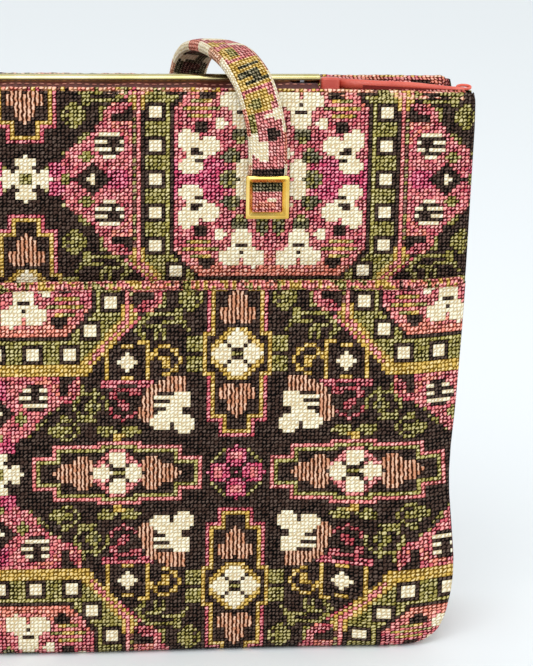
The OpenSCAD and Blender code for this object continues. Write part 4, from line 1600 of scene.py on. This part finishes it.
@dataclass
class Base:
    """Cloth under the base, and the leather floor inside."""

    shape: Shape
    figure: Figure
    cloth_z: float = 0.03
    soft: float = 5.0

    def build(self, name: str, material: Material) -> Object:
        """Builds the worked underside.

        Args:
            name: The piece's name.
            material: Its finish.

        Returns:
            The piece.
        """
        s = self.shape
        half = s.half_w - s.corner_w + float(s.waist(0))
        xs = self.figure.columns(-half, half)
        ys = np.linspace(-s.inner_d - 0.6, s.inner_d + 0.6, 31)
        yy, xx = np.meshgrid(ys, xs, indexing="ij")
        cloth = Cloth(name, material, self.figure.chart)
        points = stack(xx, yy, np.full_like(xx, self.cloth_z))
        cloth.grid(points, self.figure.u(xx), self.figure.v(-25.0 - yy), flip=True)
        return cloth.build()

    def lining(self, name: str, material: Material) -> Object:
        """Builds the leather inside: both walls and the floor, in one skin with soft corners.

        Args:
            name: The piece's name.
            material: Its finish.

        Returns:
            The piece.
        """
        s, r = self.shape, self.soft
        xs = np.linspace(-s.half_w + 3, s.half_w - 3, 70)
        up = np.linspace(s.height - 1.6, 12, 16)
        bend = np.radians(np.linspace(0, 90, 7))
        section = [(-s.inner_d, z) for z in up]
        section += [(-s.inner_d + r - r * math.cos(a), s.wall_t + r - r * math.sin(a)) for a in bend]
        section += [(y, s.wall_t) for y in np.linspace(-12, 12, 6)]
        section += [(s.inner_d - r + r * math.cos(a), s.wall_t + r - r * math.sin(a)) for a in reversed(bend)]
        section += [(s.inner_d, z) for z in reversed(up)]
        sec = np.array(section)
        x = xs[None] * np.ones((len(sec), 1))
        limit = (s.reach(sec[:, 1]) + s.waist(sec[:, 1]))[:, None] - 2.2
        x = np.clip(x, -limit, limit)
        y = np.repeat(sec[:, :1], len(xs), axis=1)
        z = np.repeat(sec[:, 1:], len(xs), axis=1)
        y = y - np.sign(y) * np.abs(swell(x, z, 0.25)) * (np.abs(y) > s.inner_d - 1)
        points = stack(x, y, z)
        faces = [(d, c, b, a) for a, b, c, d in grid_faces(*points.shape[:2])]
        return tidy(new_mesh(name, points.reshape(-1, 3), faces, material))


# Straps, frame leather and metal


@dataclass
class Stiffener:
    """Board inside a wall, drawn in at the soft waist."""

    shape: Shape
    back: bool = False
    outer: float = 23.7
    inner: float = 22.3
    inset: float = 2.4

    def build(self, name: str, material: Material) -> Object:
        """Builds the board with its slightly rounded rim.

        Args:
            name: The piece's name.
            material: Its finish.

        Returns:
            The piece.
        """
        s = self.shape
        part = np.linspace(-1, 1, 25)
        z, p = np.meshgrid(np.linspace(3.4, s.height - 1.4, 40), part, indexing="ij")
        x = p * (s.reach(z) + s.waist(z) - self.inset)
        y = np.full_like(x, self.outer)
        skin = [stack(x, y, z), stack(x, y - self.outer + self.inner, z)]
        rim = (np.abs(p) == 1) | (z == z.min()) | (z == z.max())
        for layer, way in ((skin[0], -1), (skin[1], 1)):
            layer[..., 1] += 0.3 * way * rim
        verts = np.concatenate([layer.reshape(-1, 3) for layer in skin])
        if not self.back:
            verts[:, 1] *= -1
        return turn_outwards(new_mesh(name, verts, slab_faces(*x.shape, start=1), material, False))


@dataclass
class BrassBar:
    """Brass bar of the inner frame, rounded on its outer face and flat where the two close."""

    shape: Shape
    node: str
    below: float = 1.25
    above: float = 0.0

    def build(self, name: str, material: Material) -> Object:
        """Builds the bar over the length of its node, with eased ends.

        Args:
            name: The piece's name.
            material: Its finish.

        Returns:
            The piece.
        """
        low, high = (np.array(c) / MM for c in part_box(self.node))
        back = low[1] + high[1] > 0
        closed, outer = (low[1], high[1]) if back else (high[1], low[1])
        turn = np.linspace(-math.pi / 2, math.pi / 2, 15)
        out = 0.2 + 0.8 * np.cos(turn) ** 0.9
        level = 0.5 + 0.5 * np.sin(turn)
        section = np.array([(0.0, 0.0)] + list(zip(out, level)) + [(0.0, 1.0)])
        y = closed + (outer - closed) * section[:, 0]
        z = low[2] - self.below + (high[2] - low[2] + self.below + self.above) * section[:, 1]
        middle = np.array([y.mean(), z.mean()])
        rings = []
        for x, size in ((low[0], 0.8), (low[0] + 0.3, 1.0), (high[0] - 0.3, 1.0), (high[0], 0.8)):
            ring = middle + size * (stack(y, z) - middle) + [0.0, float(self.shape.skew(x))]
            rings.append(np.column_stack([np.full(len(y), x), ring]))
        faces = ring_faces(len(rings), len(y)) + end_faces(len(rings), len(y))
        return turn_outwards(new_mesh(name, np.concatenate(rings), faces, material, False))


@dataclass
class SquareMount:
    """Brass square frame whose face slopes in towards its window."""

    x: float
    z: float
    back: bool = False
    half: float = 7.5
    window: float = 5.1
    low: float = 26.9
    face: float = 29.2
    outer_cut: float = 0.45
    inner_cut: float = 0.12

    def profile(self) -> list:
        """Half width and depth of each edge of the section, from the outer foot round to the inner foot."""
        h, w, y = self.half, self.window, self.face
        return [(h, self.low), (h, y - 0.7), (h - 0.1, y - 0.5), (h - 0.9, y - 0.02), (h - 1.15, y),
                (w + 0.12, y - 1.2), (w, y - 1.4), (w, self.low)]

    def build(self, name: str, material: Material) -> Object:
        """Builds the frame, mitred at its corners.

        Args:
            name: The piece's name.
            material: Its finish.

        Returns:
            The piece.
        """
        rows = self.profile()
        verts = []
        for half, depth in rows:
            cut = self.outer_cut if half > self.window + 1 else self.inner_cut
            for sx, sz, first in ((1, 1, True), (-1, 1, False), (-1, -1, True), (1, -1, False)):
                ends = [(half, half - cut), (half - cut, half)]
                for a, b in ends if first else reversed(ends):
                    verts.append((self.x + sx * a, depth if self.back else -depth, self.z + sz * b))
        return turn_outwards(new_mesh(name, np.array(verts), ring_faces(len(rows), 8, True), material, False))


@dataclass(frozen=True)
class Spot:
    """A figure worked on a strap, by its place across it and along it."""

    across: float
    along: float
    wide: float
    long: float
    yarn: Yarn


STRAP_SPOTS = [
    Spot(*place)
    for place in (
        (0.0, -3.2, 9.0, 1.9, Yarn.LEAF), (-0.6, -8.4, 2.4, 1.0, Yarn.SALMON),
        (1.8, -6.8, 0.8, 0.8, Yarn.CREAM), (0, -1.0, 9, 1.3, Yarn.LEAF), (0, 0.6, 9, 0.8, Yarn.GROUND),
        (-2.6, 6.4, 2.2, 1.8, Yarn.CREAM), (-1.2, 5.0, 1.8, 2.0, Yarn.CREAM),
        (-3.6, 8.6, 1.6, 2.4, Yarn.CREAM), (1.6, 9.6, 1.5, 1.8, Yarn.GROUND),
        (2.4, 14.0, 1.4, 1.6, Yarn.CREAM), (-3.2, 13.0, 1.2, 2.4, Yarn.OLIVE),
        (-1.0, 17.6, 3.8, 2.7, Yarn.GOLD), (-1.0, 17.4, 1.8, 1.1, Yarn.OLIVE), (0, 24.4, 9, 3.8, Yarn.GOLD),
        (0.5, 22.4, 3.4, 0.6, Yarn.LEAF), (-0.6, 24.2, 3.6, 0.6, Yarn.LEAF),
        (0.5, 26.0, 3.2, 0.6, Yarn.LEAF), (-1.8, 31.5, 2.2, 2.8, Yarn.GOLD),
        (-1.6, 31.5, 1.0, 1.6, Yarn.OLIVE), (2.4, 36.0, 1.6, 1.4, Yarn.CREAM),
        (-2.8, 38.0, 1.8, 2.2, Yarn.GOLD), (0.4, 45.5, 3.4, 3.0, Yarn.CREAM),
        (0.2, 51.0, 3.2, 2.6, Yarn.GROUND), (-0.6, 56.0, 3.0, 2.4, Yarn.OLIVE),
        (1.0, 62.0, 1.6, 1.8, Yarn.CREAM), (-1.6, 68.0, 2.6, 2.0, Yarn.GOLD),
        (1.2, 75.0, 2.2, 2.2, Yarn.CREAM), (-1.4, 82.0, 2.6, 2.2, Yarn.OLIVE),
        (1.8, 90.0, 1.5, 1.8, Yarn.CREAM), (-1.0, 97.0, 2.4, 2.0, Yarn.GOLD),
        (0.6, 105.0, 2.0, 2.0, Yarn.CREAM),
    )
]


@dataclass
class Strap:
    """A padded strap handle with its two flat ends behind the brass squares."""

    shape: Shape
    front: bool
    lean: float = 25.0
    arch: float = 12.0
    front_drop: float = 61.0
    back_drop: float = 100.0
    width: float = 13.4
    thick: float = 5.0
    y: float = 28.2
    clear: float = 10.7
    end_t: float = 1.9
    pitch: float = 1.15
    stitch: float = 1.42
    first_spot: float = 11.5
    sides: int = 24
    proud: float = 0.3

    def bow(self, z: float) -> float:
        """Depth of the strap behind the back wall, where it bows clear of the rim.

        Args:
            z: Height.

        Returns:
            The depth, in millimetres.
        """
        z0 = self.shape.mount_z + self.clear
        swing = math.hypot(
            self.shape.half_d + self.proud + self.y, self.shape.height - z0
        ) + self.thick / 2 + 1.0
        return max(self.y, math.sqrt(swing * swing - (z - z0) ** 2) - self.y)

    def route(self) -> Array:
        """Points, facing and thickness of the right half, from the mount to the middle.

        Returns:
            One row for each point.
        """
        h, m, lean, arch, y = self.shape.height, self.shape.mount_x, self.lean, self.arch, self.y
        drop = self.front_drop
        leg, thick, end_t, mount_z = m - lean, self.thick, self.end_t, self.shape.mount_z
        end_y = self.shape.half_d + self.proud + end_t / 2
        if self.front:
            z0 = mount_z + self.clear
            hang = [(leg, h - arch * 0.17), (leg * 0.98, h - drop * 0.23), (leg * 0.91, h - drop * 0.51),
                    (leg * 0.73, h - drop * 0.77)]
            rows = [
                (m, -end_y, mount_z - 7.4, 0, -1, 0, end_t), (m, -end_y, mount_z, 0, -1, 0, end_t),
                (m, -end_y, mount_z + 6.4, 0, -1, 0, end_t), (m, -end_y - 0.5, mount_z + 7.9, 0, -1, 0, 3.0),
                (m, -y + 0.2, z0, 0, -1, 0, thick),
                (m - lean * 0.02, -y, h - 15.5, 0, -1, 0, thick),
                (m - lean * 0.1, -y * 1.02, h - arch * 0.5, 0, -1, 0.1, thick),
                (m - lean * 0.23, -y * 0.95, h + arch * 0.25, 0, -0.85, 0.5, thick),
                (m - lean * 0.44, -y * 0.64, h + arch * 0.83, 0, -0.45, 0.9, thick),
                (m - lean * 0.65, -y * 0.07, h + arch, 0, 0, 1, thick),
                (m - lean * 0.82, y * 0.47, h + arch * 0.88, 0, 0.25, 1, thick),
                (m - lean * 0.94, y * 0.86, h + arch * 0.46, 0, 0.7, 0.7, thick),
            ]
            rows += [(x, self.bow(z), z, 0, 1, 0.1 if i == 0 else 0, thick) for i, (x, z) in enumerate(hang)]
            rows += [(leg * 0.45, y, h - drop * 0.94, 0, 1, 0, thick), (0, y, h - drop, 0, 1, 0, thick)]
        else:
            z1 = mount_z - self.clear
            rows = [
                (m, end_y, mount_z + 7.4, 0, 1, 0, end_t), (m, end_y, mount_z, 0, 1, 0, end_t),
                (m, end_y, mount_z - 6.4, 0, 1, 0, end_t), (m, end_y + 0.5, mount_z - 7.9, 0, 1, 0, 3.0),
                (m, y - 0.2, z1, 0, 1, 0, thick),
            ]
            for fx, fz in (
                (0.995, 0.18), (0.985, 0.36), (0.93, 0.56), (0.81, 0.76), (0.57, 0.92), (0.27, 0.985),
                (0, 1)
            ):
                rows.append((m * fx, y, z1 - self.back_drop * fz, 0, 1, 0, thick))
        return np.array(rows, float)

    def rings(self) -> tuple:
        """Even places along the whole strap.

        Returns:
            Centres, side directions, face directions, thicknesses and length so far.
        """
        right = self.route()
        left = right[:-1][::-1] * np.array([-1, 1, 1, 1, 1, 1, 1])
        whole = spline(np.concatenate([right, left]), 12)
        length = np.concatenate([[0], np.cumsum(np.linalg.norm(np.diff(whole[:, :3], axis=0), axis=1))])
        count = int(length[-1] / self.pitch)
        even = np.linspace(0, length[-1], count + 1)
        path = stack(*(np.interp(even, length, whole[:, k]) for k in range(7)))
        run = unit(np.gradient(path[:, :3], axis=0))
        side = unit(np.cross(run, path[:, 3:6]))
        face = unit(np.cross(side, run))
        return path[:, :3], side, face, path[:, 6], even

    def yarns(self, across: Array, along: Array, total: float) -> Array:
        """Yarn of each stitch of the strap.

        Args:
            across: Stitches from the middle of the strap.
            along: Stitches from one end.
            total: Stitches of its whole length.

        Returns:
            The palette index of each stitch.
        """
        place = np.minimum(along, total - along)
        pick = np.full(across.shape, Yarn.BLUSH.index)
        pick[np.sin(place * 0.5 + across) > 0.7] = Yarn.PINK.index
        for s in STRAP_SPOTS:
            here = oval(across, place - s.along - self.first_spot, s.across, 0.0, s.wide, s.long)
            pick[here] = s.yarn.index
        pick[np.abs(across) > 5.2] = Yarn.OLIVE.index
        edge = (np.abs(across) > 3.6) & (np.abs(across) <= 5.4)
        stripe = np.array([y.index for y in (Yarn.CREAM, Yarn.PEACH, Yarn.CREAM, Yarn.SALMON, Yarn.CREAM)])
        pick[edge] = stripe[(np.floor(place[edge] / 7.0) + (across[edge] > 0)).astype(int) % 5]
        return pick

    def section(self) -> tuple:
        """Places round the strap's section.

        Returns:
            Offsets along the side and the face, and the stitch number across.
        """
        turn = np.linspace(0, 2 * math.pi, self.sides + 1)
        c, s = np.cos(turn), np.sin(turn)
        x = np.sign(c) * np.abs(c) ** 0.55 * 0.5
        f = np.sign(s) * np.abs(s) ** 0.8 * 0.5
        ridge = np.exp(-(((np.abs(x) - 0.46) / 0.035) ** 2)) * 0.05
        steps = np.hypot(np.diff(x) * self.width, np.diff(f) * self.thick)
        around = np.cumsum(np.concatenate([[0], steps])) / self.pitch
        return x, f + np.sign(f) * ridge, around

    def build(self, name: str, material: Material, chart: Chart) -> Object:
        """Builds the padded strap with closed ends.

        Args:
            name: The piece's name.
            material: Its finish.
            chart: The chart of the cloth.

        Returns:
            The piece.
        """
        centre, side, face, thick, even = self.rings()
        x, f, around = self.section()
        plump = 1 + 0.03 * np.sin(even / 9.0) + 0.02 * np.sin(even / 4.1)
        tall = thick * np.clip(plump, 0.9, 1.06)
        points = centre[:, None] + side[:, None] * (x * self.width)[None, :, None]
        points = points + face[:, None] * f[None, :, None] * tall[:, None, None]
        u = np.repeat(around[None], len(centre), axis=0)
        v = np.repeat((even / self.pitch)[:, None], self.sides + 1, axis=1)
        where = (x[:-1] + x[1:]) / 2 * self.width / self.stitch
        under = (f[:-1] + f[1:]) / 2 < 0
        where = np.where(np.abs(where) > 4.0, np.sign(where) * 4.4, where)
        across = np.repeat(where[None], len(centre) - 1, axis=0)
        along = np.repeat(((even[:-1] + even[1:]) / 2 / self.stitch)[:, None], self.sides, axis=1)
        pick = self.yarns(across, along, even[-1] / self.stitch)
        blotch = np.sin(along * 0.55) + np.sin(along * 0.23 + across)
        inner = np.where(
            blotch > 0.9, Yarn.CREAM.index, np.where(blotch < -0.6, Yarn.RUST.index, Yarn.LEAF.index)
        )
        pick = np.where(under[None] & (np.abs(across) < 3.6), inner, pick)
        cloth = Cloth(name, material, chart)
        cloth.grid(points, u, v, yarn=pick, wrap=True, flip=True)
        return close_ends(cloth.build())


def close_ends(obj: Object) -> Object:
    """Closes the first and last ring of a swept cloth mesh.

    Args:
        obj: The piece.

    Returns:
        The same piece.
    """
    with editing(obj) as bm:
        loose = [e for e in bm.edges if len(e.link_faces) == 1]
        bmesh.ops.holes_fill(bm, edges=loose, sides=0)
        bmesh.ops.delete(bm, geom=[v for v in bm.verts if not v.link_faces], context="VERTS")
        bmesh.ops.recalc_face_normals(bm, faces=bm.faces)
    return obj


@dataclass
class Flange:
    """Leather between a wall and its brass bar, with a row of stitches by the bar. Its colour is the coral
    leather darkened with painted shade from the bar.
    """

    shape: Shape
    back: bool = False
    thick: float = 0.8
    dip: float = 6.0
    ripple: float = 0.22
    row_y: float = 3.4
    row_proud: float = 0.12

    def line(self) -> Array:
        """Places from the wall to the bar, as depth and height.

        Returns:
            Its points.
        """
        s = self.shape
        y0, y1, y2 = -s.inner_d - 0.4, -(s.inner_d + s.bar_out) / 2, -s.bar_out
        z0, z1, z2 = s.height - 2.4, s.height - self.dip, s.bar_low
        return spline(
            np.array(
                [
                    (y0, z0), ((y0 + y1) / 2, (z0 + z1) / 2 - 0.7), (y1, z1),
                    ((y1 + y2) / 2, (z1 + z2) / 2 - 0.6), (y2, z2 - 1.1), (y2 + 1.9, z2 - 0.8)
                ]
            ),
            4
        )

    def build(self, name: str, material: Material) -> Object:
        """Builds the sheet with slight puckers, both faces and its edges.

        Args:
            name: The piece's name.
            material: Its finish.

        Returns:
            The piece.
        """
        s, line = self.shape, self.line()
        xs = np.linspace(-s.flange_x, s.flange_x, 120)
        part = np.linspace(0, 1, len(line))
        pucker = self.pucker(xs)[:, None] * np.sin(part * math.pi)[None]
        yy = np.repeat(line[None, :, 0], len(xs), axis=0)
        by_arm = abs(xs) > s.arm_x
        yy[by_arm] = np.minimum(yy[by_arm], -s.bar_out - 0.4)
        zz = line[None, :, 1] + pucker + s.skew(xs)[:, None] * part[None] ** 2
        xx = np.repeat(xs[:, None], len(line), axis=1)
        top = stack(xx, yy, zz)
        low = top - self.thick * UP
        faces = slab_faces(*xx.shape)
        verts = np.concatenate([top.reshape(-1, 3), low.reshape(-1, 3)])
        if self.back:
            verts[:, 1] *= -1
            faces = [tuple(reversed(f)) for f in faces]
        return new_mesh(name, verts, faces, material)

    def pucker(self, xs: Array) -> Array:
        """Rise and fall of the leather along its length."""
        return (np.sin(xs / 3.1) + 0.6 * np.sin(xs / 1.7 + 1) + 0.5 * np.sin(xs / 7.3)) * self.ripple

    def stitches(self) -> Array:
        """Line of the stitch row beside the bar.

        Returns:
            Its points, in millimetres.
        """
        s, line = self.shape, self.line()
        xs = np.linspace(-s.flange_x + 3, s.flange_x - 3, 160)
        at = int(np.argmin(np.abs(line[:, 0] + self.row_y)))
        part = at / (len(line) - 1)
        z = line[at, 1] + self.pucker(xs) * math.sin(part * math.pi) + s.skew(xs) * part**2 + self.row_proud
        return stack(xs, np.full_like(xs, line[at, 0] if not self.back else -line[at, 0]), z)


@dataclass(frozen=True)
class Lamp:
    """A soft square lamp, in metres and watts, turned to a point above the floor."""

    name: str
    place: tuple
    size: float
    power: float
    aim: tuple = (0.0, 0.0, 0.1)

    def build(self) -> None:
        """Hangs the lamp."""
        data = bpy.data.lights.new(self.name, "AREA")
        data.size, data.energy = self.size, self.power
        obj = put(self.name, data)
        turn = (Vector(self.aim) - Vector(self.place)).to_track_quat("-Z", "Y")
        obj.matrix_world = Matrix.Translation(Vector(self.place)) @ turn.to_matrix().to_4x4()


@dataclass
class Studio:
    """Floor, light and camera."""

    focal_px: float = 1900.0
    yaw: float = 5.352
    pitch: float = 13.45
    roll: float = 0.893
    place: tuple = (29.09, -671.7, 272.63)
    width_px: int = 533
    sensor: float = 36.0
    pale: tuple = (229, 237, 241)
    floor_tone: tuple = (231, 237, 240)
    floor_half: float = 6000.0
    lamps: tuple = (Lamp("key", (-0.5, -1.6, 1.9), 1.8, 24), Lamp("fill", (1.2, -1.4, 0.9), 1.2, 4))

    def camera(self) -> None:
        """Places the camera where the photograph was taken from."""
        data = bpy.data.cameras.new("camera")
        data.sensor_fit, data.sensor_width = "HORIZONTAL", self.sensor
        data.lens = self.sensor * self.focal_px / self.width_px
        data.clip_start, data.clip_end = 0.05, 20
        yaw, pitch, roll = (math.radians(a) for a in (self.yaw, self.pitch, self.roll))
        ahead = Vector((math.sin(yaw) * math.cos(pitch), math.cos(yaw) * math.cos(pitch), -math.sin(pitch)))
        right = ahead.cross(Vector((0, 0, 1))).normalized()
        up = right.cross(ahead)
        r2 = math.cos(roll) * right + math.sin(roll) * up
        u2 = -math.sin(roll) * right + math.cos(roll) * up
        obj = put("camera", data)
        turn = Matrix((r2, u2, -ahead)).transposed().to_4x4()
        obj.matrix_world = Matrix.Translation(Vector(self.place) * MM) @ turn
        bpy.context.scene.camera = obj

    def world(self) -> None:
        """Sets the pale surroundings and their soft light."""
        world = bpy.data.worlds.new("pale_room")
        bpy.context.scene.world = world
        world.use_nodes = True
        tree = world.node_tree
        tree.nodes.clear()
        path = add(tree, "ShaderNodeLightPath").outputs
        seen = calc(tree, "MAXIMUM", path["Is Camera Ray"], path["Is Glossy Ray"])
        seen = calc(tree, "MAXIMUM", seen, path["Is Transmission Ray"])
        tone = blend_colour(tree, seen, (1.0, 1.0, 1.0, 1.0), linear(self.pale))
        light = add(tree, "ShaderNodeBackground", {"Color": tone, "Strength": 1.0}).outputs[0]
        out = tree.nodes.new("ShaderNodeOutputWorld")
        tree.links.new(light, out.inputs["Surface"])

    def floor(self) -> None:
        """Lays the plain pale floor."""
        material, _, shader = new_material("pale_floor")
        shader.inputs["Base Color"].default_value = linear(self.floor_tone)
        shader.inputs["Roughness"].default_value = 0.9
        corners = np.array([(-1, -1, 0), (1, -1, 0), (1, 1, 0), (-1, 1, 0)]) * self.floor_half
        obj = new_mesh("floor", corners, [(0, 1, 2, 3)], material, False)

    def build(self) -> None:
        """Sets up the whole studio."""
        self.camera()
        self.world()
        for lamp in self.lamps:
            lamp.build()
        self.floor()
        bpy.context.scene.view_settings.view_transform = "Standard"


# Assembly


@dataclass
class Purse:
    """The whole purse in its order of making."""

    shape: Shape = field(default_factory=Shape)
    chart: Chart = field(default_factory=Chart)
    finishes: Finishes = field(default_factory=Finishes)

    def __post_init__(self) -> None:
        """Sets where the figure falls on each cloth."""
        self.on_wall = Figure(self.chart, 6.4, 92.2, 1.424, 1.284)
        self.on_back = Figure(self.chart, 48.4, 92.2, 1.424, 1.284)
        self.on_pocket = Figure(self.chart, 79.0, 68.4, 1.418, 1.378)
        self.thread = stitch_tree(self.finishes.thread)

    def walls(self) -> None:
        """Makes both walls and their rolled rims."""
        s, f = self.shape, self.finishes
        for label, back in (("front", False), ("back", True)):
            figure = self.on_back if back else self.on_wall
            cloth = Wall(s, figure, back).build(f"{label}_wall_cloth", f.tapestry)
            figures = [f"{label}_{k}" for k in ("cover", "rose_fields", "olive_bands", "cream_flowers")]
            dress(cloth, stands_for=figures)
            sign = 1.0 if back else -1.0
            x = figure.columns(-s.half_w + 1.0, s.half_w - 1.0)
            sag = 1.2 * np.clip((x - 70) / 90, 0, 1) ** 2 * (not back)
            path = stack(x, np.full_like(x, sign * s.rim_y), s.height - s.rim_below - sag)
            rim = RolledRim(figure, path, 1.8, 1.95, outward=sign).build(f"{label}_rolled_rim", f.tapestry)
            dress(rim)

    def pocket(self) -> None:
        """Makes the front pocket."""
        s, f = self.shape, self.finishes
        pocket = Pocket(s, self.on_pocket)
        figures = ["pocket_cover", "pocket_rose_fields", "pocket_olive_bands", "pocket_cream_flowers"]
        dress(pocket.build("pocket_cloth", f.tapestry), stands_for=figures)
        rim = RolledRim(
            self.on_pocket, pocket.rim_path(), 1.3, 1.7, (Yarn.GOLD, Yarn.PINK, Yarn.SALMON, Yarn.OLIVE)
        )
        dress(rim.build("pocket_rolled_rim", f.tapestry))
        dress(pocket.lining("pocket_inside", f.lining), stands_for=["pocket_lining"])

    def sides(self) -> None:
        """Makes both folded sides and the base."""
        s, f = self.shape, self.finishes
        for label, side in (("right", 1.0), ("left", -1.0)):
            gusset = Gusset(s, self.on_wall, side)
            dress(gusset.build(f"{label}_side_cloth", f.tapestry), stands_for=[f"{label}_gusset"])
            dress(
                gusset.lining(f"{label}_side_inside", f.lining),
                stands_for=[f"{label}_gusset_lining"]
            )
            dress(gusset.binding(f"{label}_side_binding", f.coral))
            low = (min(side * s.tab_x0, side * s.tab_x1), -s.tab_half, s.tab_low)
            high = (max(side * s.tab_x0, side * s.tab_x1), s.tab_half, s.height + s.tab_above)
            verts, faces = bevelled_box(low, high, 0.9)
            tab = new_mesh(f"{label}_leather_tab", verts, faces, f.coral)
            dress(tab, stands_for=[f"{label}_hinge_tab"])
        base = Base(s, self.on_wall)
        dress(base.build("base_cloth", f.tapestry), stands_for=["base_cover"])
        dress(
            base.lining("leather_inside", f.lining),
            stands_for=["front_lining", "back_lining", "base_lining"]
        )

    def flanges(self) -> None:
        """Makes the leather that joins each wall to its brass bar."""
        for label, back in (("front", False), ("back", True)):
            flange = Flange(self.shape, back)
            # The flange's leather colour holds painted shade from the brass bar above it.
            sheet = flange.build(f"{label}_flange_leather", self.finishes.coral_painted_shade)
            row = ThreadRow(f"{label}_flange_stitches", flange.stitches()).build(self.thread)
            for piece in (sheet, row):
                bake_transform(piece)
            dress(sheet, None, [f"{label}_flange"])
            dress(row, None)

    def straps(self) -> None:
        """Makes both padded handles."""
        for label, front in (("front", True), ("back", False)):
            strap = Strap(self.shape, front)
            piece = strap.build(f"{label}_strap", self.finishes.strap, self.chart)
            if front:
                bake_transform(piece)
            else:
                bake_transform(piece)
            dress(
                piece, None,
                [f"{label}_handle", f"{label}_right_strap_end", f"{label}_left_strap_end"]
            )

    def mounts(self) -> None:
        """Makes the brass bar, the board and the two brass squares of each wall."""
        f = self.finishes
        for label, back in (("front", False), ("back", True)):
            bar = BrassBar(self.shape, f"{label}_bar").build(f"{label}_brass_bar", f.pale_brass)
            dress(bar, f"{label}_frame", [f"{label}_bar"])
            board = Stiffener(self.shape, back).build(f"{label}_stiffener", f.board)
            dress(board, stands_for=[f"{label}_board"])
            for hand, side in (("right", 1.0), ("left", -1.0)):
                node = f"{label}_{hand}_mount"
                square = SquareMount(side * self.shape.mount_x, self.shape.mount_z, back)
                dress(square.build(f"{label}_{hand}_square", f.brass), stands_for=[node])

    def metal(self) -> None:
        """Gives the frame's own rigid nodes their finishes."""
        f = self.finishes
        for name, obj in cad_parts.items():
            finish = None
            if name.endswith(("_arm", "_pin")):
                finish = f.steel
            elif name == "base_board":
                finish = f.board
            if finish:
                obj.data.materials.clear()
                obj.data.materials.append(finish)
                LOG.info("%s: finished in %s", name, finish.name)

    def build(self) -> None:
        """Makes every piece in order."""
        for step in (self.metal, self.walls, self.pocket, self.sides, self.flanges, self.straps, self.mounts):
            step()


def main() -> None:
    """Builds the studio and the purse."""
    logging.basicConfig(level=logging.INFO, format="%(name)s %(message)s", stream=sys.stdout)
    Studio().build()
    Purse().build()


if __name__ == "__main__":
    main()
